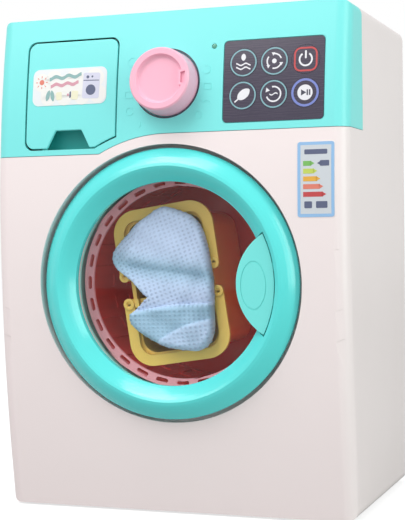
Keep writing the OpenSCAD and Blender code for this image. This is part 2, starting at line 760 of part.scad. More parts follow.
module ring_section() polygon(concat(
    [[ring_r, back_y]], [for (r = RING_RADII) [r, ring_y(r)]], [[view_r, seat_y], [view_r + 1.2, seat_y]],
    [for (k = [len(RING_RADII) - 3 : -1 : 2]) [min(RING_RADII[k], ring_r - ring_skin), ring_y(RING_RADII[k]) + ring_skin]],
    [[ring_r - ring_skin, rim_y + 0.4], [ring_r - ring_skin, back_y]]));

// The lens shape of the handle: the ring's step on the right and a bulge over the window
module grip_view(shrink) intersection() {
    circle(step_r - shrink, $fn = 144);
    translate([bulge_x(), 0]) circle(bulge_x() - grip_bulge - shrink, $fn = 96);
}

function bulge_x() = let (tip_x = sqrt(step_r * step_r - grip_tip * grip_tip))
    (tip_x * tip_x + grip_tip * grip_tip - grip_bulge * grip_bulge) / (2 * (tip_x - grip_bulge));

module door_frame() placed() translate([door_x, 0, door_z]) children();

module door_ring() color("mediumturquoise") door_frame() difference() {
    union() {
        difference() {
            rotate([-90, 0, 0]) rotate_extrude($fn = 144) ring_section();
            along_y(-9, seat_y - 1.4) grip_view(0);
        }
        ring_lugs();
    }
    rod_z(-hinge_x, hinge_y, -hinge_top - 1, hinge_top + 1, pin_r + run_gap);
    for (s = [-1, 1]) hinge_slot(s);
    rod_z(grip_pin[0], grip_pin[1], -17, 17, pin_r);
    for (a = [40 : 50 : 320]) if (abs(a - 180) > 20)
        rod_y(boss_at * cos(a), boss_at * sin(a), retainer_y - 6, retainer_y + 1, screw_r - 0.3);
}

// The barrels that turn on the hinge pin and the cheeks that hold the handle's pin
module ring_lugs() {
    intersection() {
        union() {
            rod_z(-hinge_x, hinge_y, -hinge_top, hinge_top, 2.5);
            box_between([-hinge_x - 2.5, -2, -hinge_top], [-hinge_x + 2.5, hinge_y, hinge_top]);
            for (a = [40 : 50 : 320]) if (abs(a - 180) > 20)
                rod_y(boss_at * cos(a), boss_at * sin(a), -ridge_out, retainer_y, 2.4);
        }
        rotate([-90, 0, 0]) rotate_extrude($fn = 144) ring_filling();
    }
    for (s = [-1, 1]) translate([0, 0, s * 14.4]) intersection() {
        union() {
            box_between([grip_pin[0] - 2, grip_pin[1] - pin_r - 0.4, -1.4], [ridge_r + 1.5, seat_y - 0.2, 1.4]);
            box_between([step_r + 0.6, -ridge_out, -1.4], [ridge_r + 1.5, seat_y - 0.2, 1.4]);
        }
        translate([0, 0, -s * 14.4]) rotate([-90, 0, 0]) rotate_extrude($fn = 144) ring_filling();
    }
}

// All that lies behind the ring's front face
module ring_filling() polygon(concat([[ring_r - 0.5, back_y], [ring_r - 0.5, rim_y + 0.3]],
    [for (r = RING_RADII) if (r < ring_r - 0.6) [r, ring_y(r) + 0.4]], [[view_r, 9], [ring_r - 0.5, 9]]));

// The room behind the ring's front face that one arm of the hinge bracket swings in
module hinge_slot(s) along_z(s > 0 ? hinge_in - 0.3 : -hinge_in - hinge_arm - 0.3,
    s > 0 ? hinge_in + hinge_arm + 0.3 : -hinge_in + 0.3) {
    translate([-hinge_x - 2.3, hinge_y - 2.1]) square([9.3, 11]);
    translate([-ring_r + 2.4, hinge_y + 0.2]) square([hinge_inset - 4.6, 9]);
}

module door_window() color([0.9, 0.97, 0.98, 0.35]) placed() spun() difference() {
    polygon(concat([[0, seat_y - window_dome]],
        [for (k = [1 : 8]) let (r = (view_r - 2) * k / 8) [r, seat_y - window_dome * (1 - pow(r / (view_r - 2), 2))]],
        [[window_r, seat_y], [window_r, seat_y + window_t], [view_r - 2.5, seat_y + window_t]],
        [for (k = [7 : -1 : 0]) let (r = (view_r - 2) * k / 8)
            [r, seat_y + window_t - window_dome * (1 - pow(r / (view_r - 2), 2))]]));
}

module door_retainer() color("mediumturquoise") door_frame() difference() {
    rotate([-90, 0, 0]) rotate_extrude($fn = 144) translate([view_r + 0.6, retainer_y])
        square([retainer_r - view_r - 0.6, retainer_t]);
    box_between([-ring_r - 1, 0, -hinge_top - 1.5], [-hinge_x + hinge_foot_x + 2.3, 12, hinge_top + 1.5]);
    box_between([grip_pin[0] - 1.9, 0, -12.6], [ring_r, 12, 12.6]);
    for (a = [40 : 50 : 320]) if (abs(a - 180) > 20)
        rod_y(boss_at * cos(a), boss_at * sin(a), 0, 12, screw_r - 0.1);
}

module retainer_screws() color("silver") door_frame()
    for (a = [40 : 50 : 320]) if (abs(a - 180) > 20) translate([boss_at * cos(a), retainer_y, boss_at * sin(a)]) {
        rod_y(0, 0, -5, retainer_t, screw_r - 0.3 - eps);
        rod_y(0, 0, retainer_t, retainer_t + 1, screw_head - 0.6);
    }

// Two bent arms on a plate, which carry the hinge pin clear of the ring's outer edge
module hinge_bracket() color("mediumturquoise") door_frame() difference() {
    union() {
        for (s = [-1, 1]) along_z(s > 0 ? hinge_in : -hinge_in - hinge_arm, s > 0 ? hinge_in + hinge_arm : -hinge_in) {
            bar([-hinge_x, hinge_y], [-hinge_x + hinge_foot_x, hinge_y + hinge_foot_y], 3);
            bar([-hinge_x + hinge_foot_x, hinge_y + hinge_foot_y], [-hinge_x + hinge_foot_x, recess_d - 1.5], 3);
            translate([-hinge_x, hinge_y]) circle(1.9);
        }
        box_between([-hinge_x - 3, recess_d - 1.6, -hinge_top], [-mouth_r - 0.6, recess_d, hinge_top]);
    }
    rod_z(-hinge_x, hinge_y, -hinge_top - 1, hinge_top + 1, pin_r);
}

module hinge_pin() color("silver") door_frame() rod_z(-hinge_x, hinge_y, -hinge_top + 0.3, hinge_top - 0.3, pin_r);

module door_handle() color("turquoise") door_frame() difference() {
    union() {
        along_y(grip_y, grip_y + grip_t) grip_view(grip_gap);
        for (s = [-1, 1]) translate([0, 0, s * grip_arm_z]) {
            rod_z(grip_pin[0], grip_pin[1], -2, 2, 1.7);
            box_between([grip_pin[0] - 1.7, grip_y + 1, -2], [grip_pin[0] + 1.2, grip_pin[1], 2]);
        }
        box_between([grip_pin[0] - 0.3, grip_y + 1, -4], [grip_pin[0] + 1.2, tongue_y, 4]);
        box_between([grip_pin[0] - 0.3, tongue_y - 1.2, -4], [catch_x - 0.4, tongue_y, 4]);
    }
    rod_z(grip_pin[0], grip_pin[1], -15, 15, pin_r + run_gap);
    translate([50.6, grip_y, -0.7]) rotate([-90, 0, 0]) scale([0.55, 1, 1]) difference() {
        translate([0, 0, -1]) cylinder(r = 13.3, h = 1.35);
        translate([0, 0, -2]) cylinder(r = 12.5, h = 4);
    }
}

module handle_pin() color("silver") door_frame() rod_z(grip_pin[0], grip_pin[1], -15.6, 15.6, pin_r - eps);

module handle_spring() color("silver") door_frame() {
    z = grip_arm_z + 2.2;
    box_between([grip_pin[0] - 9, grip_pin[1] - 1.7, z + 0.9], [grip_pin[0], grip_pin[1] - 1.3, z + 1.2]);
    difference() {
        rod_z(grip_pin[0], grip_pin[1], z, z + 1.2, 1.8);
        rod_z(grip_pin[0], grip_pin[1], z - 1, z + 2, pin_r);
    }
}

module latch_catch() color("whitesmoke") door_frame() {
    box_between([catch_x + 5, tongue_y - 3, -5], [catch_x + 8, recess_d, 5]);
    box_between([catch_x, tongue_y - 3, -5], [catch_x + 8, tongue_y - 1.6, 5]);
}

module tub() color("white") placed() difference() {
    union() {
        spun() {
            translate([tub_r, recess_d + floor_t]) square([tub_wall, tub_y1 + tub_back - recess_d - floor_t]);
            translate([0, tub_y1]) square([tub_r + 1, tub_back]);
            translate([0, tub_y1]) square([bush_r + 3, tub_back + bush_out - 0.5]);
        }
        for (a = [45 : 90 : 315]) intersection() {
            translate([door_x, 0, door_z]) rotate([0, -a, 0]) {
                box_between([tub_r + 1, ear_y, -boss_r], [ear_r, ear_y + 2.5, boss_r]);
                rod_y(ear_r, 0, ear_y, ear_y + 2.5, boss_r);
            }
            spun() translate([tub_r + 1, ear_y]) square([14, 2.5]);
        }
        for (s = [-1, 1]) rod_y(door_x + axle_gap, door_z + s * post_dz, tub_y1 + 1, mount_y, boss_r);
    }
    rod_y(door_x, door_z, tub_y1 - 1, tub_y1 + 12, bush_r);
    for (a = [45 : 90 : 315])
        rod_y(door_x + ear_r * cos(a), door_z + ear_r * sin(a), ear_y - 1, ear_y + 4, screw_r + 0.3);
    for (s = [-1, 1]) rod_y(door_x + axle_gap, door_z + s * post_dz, mount_y - 7, mount_y + 1, screw_r);
}

module tub_screws() color("silver") placed() for (a = [45 : 90 : 315])
    screw(door_x + ear_r * cos(a), door_z + ear_r * sin(a), ear_y + 2.5, 8);

module drum_barrel() color("pink") placed() difference() {
    spun() {
        translate([drum_r - drum_wall, drum_y]) square([drum_wall, drum_d]);
        translate([drum_r - drum_rim, drum_y]) square([drum_rim - 1, drum_rim_t]);
        translate([0, drum_y1 - drum_back]) square([drum_r - 1, drum_back]);
        translate([0, drum_y1 - hub_d]) square([hub_r, hub_d - 1]);
        translate([0, drum_y1 - 1]) square([hub_r - 2, 2.4]);
    }
    rod_y(door_x, door_z, drum_y1 - hub_d + 2, drum_y1 + 3, shaft_r);
    along_y(drum_y - 1, drum_y + drum_rim_t + 1) translate([door_x, door_z])
        for (k = [0 : rim_slots - 1]) rotate(k * 360 / rim_slots)
            bar([drum_r - drum_rim / 2 - 0.4, -2.6], [drum_r - drum_rim / 2 - 0.4, 2.6], 2.4);
    for (k = [0 : wall_panels - 1]) translate([door_x, 0, door_z]) rotate([0, k * 360 / wall_panels, 0]) {
        translate([drum_r - drum_wall - 2, drum_y + 23, 0]) rotate([0, 90, 0])
            linear_extrude(2.8) round_rect(8, 30, 1.6);
        translate([drum_r - drum_wall - 2, drum_y + 42, -4]) cube([2.8, drum_d - 50, 8]);
    }
}

module drum_shaft() color("silver") placed() rod_y(door_x, door_z, drum_y1 - hub_d + 2, gear_y + gear_t + 2.4, shaft_r - eps);

module shaft_bush() color("goldenrod") placed() spun() {
    translate([shaft_r + run_gap, tub_y1 + 0.2]) square([bush_r - shaft_r - run_gap - eps, tub_back + bush_out - 0.7]);
}

// An involute tooth flank: the angle from the tooth's middle at a radius
function flank(r, teeth, thin) = let (base = gear_m * teeth / 2 * cos(20), a = acos(min(base / r, 1)))
    90 / teeth - thin + (tan(20) - tan(a)) * 180 / PI - 20 + a;

module gear_view(teeth) {
    pitch = gear_m * teeth / 2;
    base = pitch * cos(20);
    root = pitch - 1.15 * gear_m;
    tip = pitch + 0.8 * gear_m;
    thin = 0.09 / pitch * 180 / PI;
    low = max(base + eps, root + 0.05);
    steps = 3;
    polygon([for (k = [0 : teeth - 1], side = [-1, 1], n = [0 : steps + 1])
        let (m = side < 0 ? n : steps + 1 - n, r = m == 0 ? root : low + (tip - low) * (m - 1) / steps,
            a = k * 360 / teeth + side * flank(max(r, low), teeth, thin))
        r * [cos(a), sin(a)]]);
}

module drum_gear() color("ivory") placed() translate([door_x, gear_y, door_z]) rotate([-90, 0, 0]) difference() {
    union() {
        linear_extrude(gear_t) difference() {
            gear_view(gear_teeth);
            for (a = [30 : 60 : 330]) rotate(a) translate([gear_m * gear_teeth / 3.4, 0]) circle(4.6);
        }
        cylinder(r = shaft_r + 3, h = gear_t + 0.6);
    }
    translate([0, 0, -1]) cylinder(r = shaft_r, h = gear_t + 4);
}

module gear_clip() color("silver") placed() difference() {
    rod_y(door_x, door_z, gear_y + gear_t + 0.8, gear_y + gear_t + 1.6, shaft_r + 2);
    rod_y(door_x, door_z, gear_y, gear_y + gear_t + 3, shaft_r);
    translate([door_x, gear_y, door_z]) box_between([-0.8, 0, -9], [0.8, gear_t + 3, 0]);
}

module motor_pinion() color("ivory") placed() translate([door_x + axle_gap, gear_y, door_z]) rotate([-90, 0, 0]) {
    difference() {
        rotate(180 + 180 / pinion_teeth) linear_extrude(gear_t) gear_view(pinion_teeth);
        translate([0, 0, 0.6]) cylinder(r = motor_shaft_r, h = gear_t);
    }
    translate([0, 0, 0.6]) cylinder(r = motor_shaft_r - eps, h = mount_y + mount_t + 6 - gear_y);
}

module gearbox() color("gainsboro") placed() translate([door_x + axle_gap, mount_y + mount_t, door_z]) difference() {
    union() {
        box_between([-9, 0, -11], [11, gearbox_t, 11]);
        rod_y(0, 0, -mount_t, eps, 3.4);
    }
    rod_y(0, 0, -mount_t - 1, 7, motor_shaft_r + run_gap);
}

module motor_can() color("silver") placed() translate([door_x + axle_gap, mount_y + mount_t + gearbox_t, door_z]) {
    intersection() {
        rod_y(0, 0, 0, motor_l, motor_r);
        box_between([-motor_r, 0, -motor_r * 0.76], [motor_r, motor_l, motor_r * 0.76]);
    }
    rod_y(0, 0, motor_l - 0.5, motor_l + 1.6, motor_r * 0.3);
}

module motor_mount() color("whitesmoke") placed() translate([door_x + axle_gap, 0, door_z]) difference() {
    union() {
        along_y(mount_y, mount_y + mount_t) round_rect(22, 2 * post_dz + 9, 4);
        for (s = [-1, 1]) translate([0, mount_y, s * 12.3])
            box_between([-9, 0, -1], [9, mount_t + gearbox_t - 2, 1]);
    }
    rod_y(0, 0, mount_y - 1, mount_y + 4, 3.5);
    for (s = [-1, 1]) rod_y(0, s * post_dz, mount_y - 1, mount_y + 4, screw_r + 0.3);
}

module mount_screws() color("silver") placed() for (s = [-1, 1])
    screw(door_x + axle_gap, door_z + s * post_dz, mount_y + mount_t, 8);

module battery_box() color("whitesmoke") placed() translate([0, back_in - box_depth - box_wall, bay_z]) difference() {
    box_between([-bay_w / 2 - box_wall, 0, -box_wall - 1], [bay_w / 2 + box_wall, box_depth + box_wall, bay_h + box_wall]);
    box_between([-bay_w / 2, box_wall, -1], [bay_w / 2, box_depth + 9, bay_h]);
    box_between([-bay_w, box_depth + box_wall - 3.4, -5], [bay_w, box_depth + 9, 2 * lid_pin[1] + 1.2]);
}

function cell_z(k) = bay_z + 1.6 + cell_r + k * cell_pitch;

cell_y = back_in - box_depth + cell_r + 0.4;

module battery_cells() color("dimgray") placed() for (k = [0 : cells - 1]) let (s = k % 2 == 0 ? 1 : -1)
    translate([0, cell_y, cell_z(k)]) {
        rod_x(0, 0, -cell_l / 2, cell_l / 2, cell_r);
        rod_x(0, 0, s > 0 ? cell_l / 2 - eps : -cell_l / 2 - 1.4, s > 0 ? cell_l / 2 + 1.4 : -cell_l / 2 + eps, 2.6);
    }

module battery_contacts() color("silver") placed() for (k = [0 : cells - 1]) let (s = k % 2 == 0 ? 1 : -1)
    translate([0, cell_y, cell_z(k)]) {
        translate([s > 0 ? bay_w / 2 - 0.5 : -bay_w / 2, 0, 0]) box_between([0, -5, -5], [0.5, 5, 5]);
        rod_x(0, 0, s > 0 ? cell_l / 2 + 1.4 : -bay_w / 2, s > 0 ? bay_w / 2 : -cell_l / 2 - 1.4, 1.2);
        translate([s > 0 ? -bay_w / 2 : bay_w / 2 - 0.5, 0, 0]) box_between([0, -5, -5], [0.5, 5, 5]);
        translate([s > 0 ? -bay_w / 2 : cell_l / 2, 0, 0]) rotate([0, 90, 0]) difference() {
            cylinder(r1 = s > 0 ? 5 : 3.4, r2 = s > 0 ? 3.4 : 5, h = (bay_w - cell_l) / 2);
            translate([0, 0, -1]) cylinder(r = 2.4, h = bay_w);
        }
    }

module battery_lid() color("whitesmoke") placed() difference() {
    union() {
        box_between([-bay_w / 2 + lid_gap, back_in + 0.2, bay_z + lid_pin[1]],
            [bay_w / 2 - lid_gap, body_d - 0.05, bay_z + bay_h - lid_gap]);
        box_between([-5.3, back_in + 0.2, bay_z + bay_h - 2], [5.3, body_d - 0.05, bay_z + bay_h + 10.7]);
        rod_x(body_d - lid_pin[0], bay_z + lid_pin[1], -bay_w / 2 + lid_gap, bay_w / 2 - lid_gap, lid_barrel);
        rod_x(body_d - lid_pin[0], bay_z + lid_pin[1], -bay_w / 2 - 3, bay_w / 2 + 3, pin_r);
    }
    rod_y(0, lid_screw_z(), body_d - 9, body_d + 1, screw_r);
    rod_y(0, lid_screw_z(), body_d - 1.2, body_d + 1, screw_head + 0.2);
}

module lid_screw() color("silver") placed() {
    rod_y(0, lid_screw_z(), body_d - 5, body_d - 1.2, screw_r - eps);
    rod_y(0, lid_screw_z(), body_d - 1.2, body_d - 0.4, screw_head);
}

module speaker() color("#303034") placed() spun_speaker() polygon([[0, -11], [9, -11], [9, -5], [speaker_r, -2.4],
    [speaker_r, 0], [speaker_r - 2, 0], [6, -3.4], [0, -2.6]]);

module basket_frame() placed() translate([basket_at[0], 0, basket_at[1]]) rotate([0, -basket_turn, 0]) children();

module basket_tub() color("gold") basket_frame() difference() {
    union() {
        difference() {
            along_y(basket_y, basket_y + basket_d) round_rect(basket_w - 12, basket_h - 12, bail_r - 4);
            along_y(basket_y - 1, basket_y + basket_d - basket_wall)
                round_rect(basket_w - 12 - 2 * basket_wall, basket_h - 12 - 2 * basket_wall, bail_r - 5.4);
        }
        along_y(basket_y, basket_y + 1.4) difference() {
            round_rect(basket_w - 3, basket_h - 3, bail_r - 1);
            round_rect(basket_w - 12 - 2 * basket_wall, basket_h - 12 - 2 * basket_wall, bail_r - 5.4);
            for (s = [-1, 1]) translate([s * basket_w / 2, 0]) square([10.4, 2 * lug_z - 5.6], center = true);
        }
        for (x = [-1, 1], z = [-1, 1]) translate([x * (basket_w / 2 - bail_w - lug_w / 2 - 0.3), 0, z * lug_z]) {
            box_between([-lug_w / 2, bail_y, -2.4], [lug_w / 2, basket_y + 4, 2.4]);
            box_between([-bail_w, basket_y, -2.4], [bail_w, basket_y + 4, 2.4]);
        }
    }
    for (z = [-1, 1]) rod_x(bail_pin_y, z * lug_z, -basket_w, basket_w, pin_r);
    for (x = [-16 : 8 : 16]) along_y(basket_y + basket_d - 4, basket_y + basket_d + 1)
        bar([x, -26], [x, 26], 3);
}

// One folded handle: half of a round-cornered frame, with two stub pins in the basket's lugs
module bail(s) {
    along_y(bail_y, bail_y + bail_t) intersection() {
        difference() {
            round_rect(basket_w, basket_h, bail_r);
            round_rect(basket_w - 2 * bail_w, basket_h - 2 * bail_w, bail_r - bail_w);
        }
        translate([-basket_w, s > 0 ? lug_z : -basket_h]) square([2 * basket_w, basket_h - lug_z]);
    }
    for (x = [-1, 1]) rod_x(bail_pin_y, s * lug_z, x > 0 ? basket_w / 2 - bail_w : -basket_w / 2,
        x > 0 ? basket_w / 2 : -basket_w / 2 + bail_w, bail_t / 2);
    for (x = [-1, 1]) rod_x(bail_pin_y, s * lug_z, x > 0 ? basket_w / 2 - bail_w - lug_w - 0.2 : -basket_w / 2 + 1,
        x > 0 ? basket_w / 2 - 1 : -basket_w / 2 + bail_w + lug_w + 0.2, pin_r - run_gap);
}

module basket_handle_upper() color("gold") basket_frame() bail(1);

module basket_handle_lower() color("gold") basket_frame() bail(-1);

// The folded cloth: rings of points shrink from the outline to the middle, on a front and a back
cloth_rings = 7;
cloth_sides = 4 * len(CLOTH);
function cloth_edge(k) = let (n = floor(k / 4), t = (k % 4) / 4, m = len(CLOTH))
    CLOTH[n % m] * (1 - t) + CLOTH[(n + 1) % m] * t;
function fold(x, z) = 2.4 * exp(-pow((z + 20 - x * 0.1) / 5, 2)) - 1.6 * exp(-pow((z + 7 - x * 0.12) / 4, 2))
    + 1.2 * sin(7 * (x + z)) * exp(-pow((z - 14) / 16, 2));
function cloth_point(k, n, front) = let (q = n / cloth_rings, p = cloth_edge(k) * q + CLOTH_MIDDLE * (1 - q),
    swell = sqrt(max(1 - pow(q, 3), 0)))
    [p[0], front ? cloth_back - 0.8 - swell * (cloth_crown + fold(p[0], p[1]))
        : cloth_back + (q < 0.5 ? cloth_sunk * pow(1 - 2 * q, 0.7) : 0), p[1]];

module laundry_cloth() color("lightskyblue") basket_frame() {
    n = cloth_sides;
    rings = [for (q = [1 : cloth_rings]) for (k = [0 : n - 1]) cloth_point(k, q, true)];
    backs = [for (q = [1 : cloth_rings]) for (k = [0 : n - 1]) cloth_point(k, q, false)];
    half = n * cloth_rings;
    polyhedron(concat(rings, backs, [cloth_point(0, 0, true), cloth_point(0, 0, false)]), concat(
        [for (q = [0 : cloth_rings - 2], k = [0 : n - 1]) let (a = q * n + k, b = q * n + (k + 1) % n) each
            [[a, b, a + n], [b, b + n, a + n], [half + a, half + a + n, half + b], [half + b, half + a + n, half + b + n]]],
        [for (k = [0 : n - 1]) let (a = (cloth_rings - 1) * n + k, b = (cloth_rings - 1) * n + (k + 1) % n) each
            [[a, b, half + a], [b, half + b, half + a]]],
        [for (k = [0 : n - 1]) each [[k, 2 * half, (k + 1) % n], [half + k, half + (k + 1) % n, 2 * half + 1]]]));
}

cabinet_body();
back_cover();
cover_screws();
foot_pads();
control_fascia();
fascia_screws();
key_overlay();
led_lens();
circuit_board();
key_switches();
board_parts();
board_screws();
program_knob();
click_wheel();
click_spring();
knob_screw();
drawer_front();
detergent_tray();
drawer_guide();
drawer_badge();
front_label();
door_ring();
door_window();
door_retainer();
retainer_screws();
hinge_bracket();
hinge_pin();
door_handle();
handle_pin();
handle_spring();
latch_catch();
tub();
tub_screws();
drum_barrel();
drum_shaft();
shaft_bush();
drum_gear();
gear_clip();
motor_pinion();
gearbox();
motor_can();
motor_mount();
mount_screws();
battery_box();
battery_cells();
battery_contacts();
battery_lid();
lid_screw();
speaker();
basket_tub();
basket_handle_upper();
basket_handle_lower();
laundry_cloth();
for (k = [0 : len(KEY_NAMES) - 1])
    key(key_cols[k % 3], key_rows[floor(k / 3)]);
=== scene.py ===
# The toy washing machine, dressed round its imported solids.
# Lengths are metres in the part's own frame: Z up, the front towards -Y, the feet on Z = 0.
import json
import math

import bmesh
import bpy
from mathutils import Matrix, Vector

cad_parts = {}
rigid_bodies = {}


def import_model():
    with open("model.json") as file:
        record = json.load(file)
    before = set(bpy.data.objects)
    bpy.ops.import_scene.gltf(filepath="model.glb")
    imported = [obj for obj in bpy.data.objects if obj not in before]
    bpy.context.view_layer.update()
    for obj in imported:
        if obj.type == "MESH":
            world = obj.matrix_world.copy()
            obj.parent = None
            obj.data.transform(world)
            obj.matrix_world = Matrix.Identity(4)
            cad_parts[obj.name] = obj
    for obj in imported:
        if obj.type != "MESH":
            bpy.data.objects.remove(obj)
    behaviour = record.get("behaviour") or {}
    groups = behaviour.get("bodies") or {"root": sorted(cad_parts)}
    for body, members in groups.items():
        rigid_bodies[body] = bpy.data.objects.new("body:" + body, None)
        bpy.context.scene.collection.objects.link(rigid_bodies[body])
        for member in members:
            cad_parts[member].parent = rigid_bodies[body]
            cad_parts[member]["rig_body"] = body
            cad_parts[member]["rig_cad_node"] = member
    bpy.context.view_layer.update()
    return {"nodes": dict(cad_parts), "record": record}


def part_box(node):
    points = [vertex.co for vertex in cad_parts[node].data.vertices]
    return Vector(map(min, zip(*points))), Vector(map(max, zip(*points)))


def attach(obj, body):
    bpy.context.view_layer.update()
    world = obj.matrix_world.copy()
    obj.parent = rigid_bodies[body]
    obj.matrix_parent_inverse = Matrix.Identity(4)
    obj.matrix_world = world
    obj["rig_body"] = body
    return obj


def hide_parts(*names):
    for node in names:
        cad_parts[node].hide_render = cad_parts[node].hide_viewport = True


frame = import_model()

MM = 0.001
FRONT_Y, BASE_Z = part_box("cabinet_body")[0][1:]


def at(x, y, z):
    """A point given in millimetres from the cabinet's middle, foremost line and underside."""
    return Vector((x * MM, y * MM + FRONT_Y, z * MM + BASE_Z))


# Camera

AZIMUTH = math.radians(20.075)
ELEVATION = math.radians(1.162)
ROLL = math.radians(-0.776)
AIM = at(22.713, 0, 141.47)
REACH = 0.72653
LENS = 92.45


def add_camera():
    level = math.cos(ELEVATION)
    back = Vector((math.sin(AZIMUTH) * level, -math.cos(AZIMUTH) * level, math.sin(ELEVATION)))
    right = Vector((math.cos(AZIMUTH), math.sin(AZIMUTH), 0))
    up = back.cross(right)
    across = math.cos(ROLL) * right + math.sin(ROLL) * up
    above = -math.sin(ROLL) * right + math.cos(ROLL) * up
    place = AIM + back * REACH
    bpy.ops.object.camera_add(location=place)
    camera = bpy.context.object
    camera.name = "photo_camera"
    camera.matrix_world = Matrix((
        (across.x, above.x, back.x, place.x),
        (across.y, above.y, back.y, place.y),
        (across.z, above.z, back.z, place.z),
        (0, 0, 0, 1)))
    camera.data.lens = LENS
    camera.data.sensor_width = 36
    camera.data.sensor_fit = "AUTO"
    camera.data.clip_start = 0.01
    bpy.context.scene.camera = camera


# Light

LIGHT_AIM = Vector((0, 0, 0.14))
LAMPS = (
    ("key_softbox", (-0.55, -0.85, 1.15), (0.9, 0.9), 6.5, (1.0, 0.965, 0.97)),
    ("high_softbox", (-0.3, -0.72, 1.5), (0.8, 0.8), 8.5, (1.0, 0.975, 0.98)),
    ("right_softbox", (1.3, -0.45, 0.5), (0.7, 1.1), 8.2, (0.87, 1.0, 0.95)),
)
WORLD_LEVEL = 0.65


def add_lamp(name, place, size, watts, colour):
    bpy.ops.object.light_add(type="AREA", location=place)
    lamp = bpy.context.object
    lamp.name = name
    lamp.data.shape = "RECTANGLE"
    lamp.data.size = size[0]
    lamp.data.size_y = size[1]
    lamp.data.energy = watts
    lamp.data.color = colour
    lamp.rotation_euler = (LIGHT_AIM - Vector(place)).to_track_quat("-Z", "Y").to_euler()


def add_light():
    for lamp in LAMPS:
        add_lamp(*lamp)
    world = bpy.data.worlds.new("studio")
    bpy.context.scene.world = world
    world.use_nodes = True
    tree = world.node_tree
    tree.nodes.clear()
    rays = tree.nodes.new("ShaderNodeLightPath")
    strength = tree.nodes.new("ShaderNodeMapRange")
    strength.inputs["To Min"].default_value = WORLD_LEVEL
    strength.inputs["To Max"].default_value = 1.0
    sky = tree.nodes.new("ShaderNodeBackground")
    sky.inputs["Color"].default_value = (1, 1, 1, 1)
    out = tree.nodes.new("ShaderNodeOutputWorld")
    tree.links.new(rays.outputs["Is Camera Ray"], strength.inputs["Value"])
    tree.links.new(strength.outputs[0], sky.inputs["Strength"])
    tree.links.new(sky.outputs[0], out.inputs["Surface"])
    bpy.context.scene.view_settings.view_transform = "Standard"


# Shader groups

def new_group(name, inputs, outputs):
    """A node group with named sockets; inputs maps a name to its kind and first value."""
    group = bpy.data.node_groups.new(name, "ShaderNodeTree")
    for label, (kind, value) in inputs.items():
        socket = group.interface.new_socket(name=label, in_out="INPUT", socket_type="NodeSocket" + kind)
        if value is not None:
            socket.default_value = value
    for label, kind in outputs.items():
        group.interface.new_socket(name=label, in_out="OUTPUT", socket_type="NodeSocket" + kind)
    return group, group.nodes.new("NodeGroupInput"), group.nodes.new("NodeGroupOutput")


def node_in(tree, kind, **settings):
    node = tree.nodes.new("ShaderNode" + kind)
    for key, value in settings.items():
        setattr(node, key, value)
    return node


def math_in(tree, operation, first, second=None, third=None, clamp=False):
    """One arithmetic step; each value is a number or an output socket."""
    node = node_in(tree, "Math", operation=operation, use_clamp=clamp)
    for k, value in enumerate((first, second, third)):
        if value is None:
            continue
        if isinstance(value, (int, float)):
            node.inputs[k].default_value = value
        else:
            tree.links.new(value, node.inputs[k])
    return node.outputs[0]


def mix_in(tree, factor, first, second):
    """A colour mix; each value is a colour or an output socket."""
    node = node_in(tree, "Mix", data_type="RGBA")
    for socket, value in ((node.inputs[0], factor), (node.inputs[6], first), (node.inputs[7], second)):
        if isinstance(value, (int, float)):
            socket.default_value = value
        elif isinstance(value, (tuple, list)):
            socket.default_value = (*value, 1) if len(value) == 3 else value
        else:
            tree.links.new(value, socket)
    return node.outputs[2]


def make_moulding_group():
    """Moulded plastic: a fine grain, faint cloudy colour and patches of wiped gloss."""
    group, start, end = new_group("moulded surface", {
        "Color": ("Color", (0.8, 0.8, 0.8, 1)),
        "Roughness": ("Float", 0.3),
        "Cloud": ("Float", 0.03),
        "Wipe": ("Float", 0.08),
        "Grain size": ("Float", 900.0),
        "Grain height": ("Float", 0.02),
    }, {"Color": "Color", "Roughness": "Float", "Normal": "Vector"})
    links = group.links
    place = node_in(group, "TexCoord")
    cloud = node_in(group, "TexNoise")
    cloud.inputs["Scale"].default_value = 22
    cloud.inputs["Detail"].default_value = 3
    links.new(place.outputs["Object"], cloud.inputs["Vector"])
    cloudy = math_in(group, "SUBTRACT", cloud.outputs["Fac"], 0.5)
    shift = math_in(group, "MULTIPLY_ADD", cloudy, start.outputs["Cloud"], 1.0)
    tone = node_in(group, "HueSaturation")
    links.new(start.outputs["Color"], tone.inputs["Color"])
    links.new(shift, tone.inputs["Value"])
    links.new(tone.outputs["Color"], end.inputs["Color"])
    wipe = node_in(group, "TexNoise")
    wipe.inputs["Scale"].default_value = 60
    wipe.inputs["Detail"].default_value = 5
    wipe.inputs["Distortion"].default_value = 1.2
    links.new(place.outputs["Object"], wipe.inputs["Vector"])
    wiped = math_in(group, "SUBTRACT", wipe.outputs["Fac"], 0.5)
    gloss = math_in(
        group, "MULTIPLY_ADD", wiped, start.outputs["Wipe"], start.outputs["Roughness"], clamp=True)
    links.new(gloss, end.inputs["Roughness"])
    grain = node_in(group, "TexNoise")
    grain.inputs["Detail"].default_value = 2
    links.new(place.outputs["Object"], grain.inputs["Vector"])
    links.new(start.outputs["Grain size"], grain.inputs["Scale"])
    bump = node_in(group, "Bump")
    bump.inputs["Distance"].default_value = 0.0002
    links.new(start.outputs["Grain height"], bump.inputs["Strength"])
    links.new(grain.outputs["Fac"], bump.inputs["Height"])
    links.new(bump.outputs["Normal"], end.inputs["Normal"])
    return group


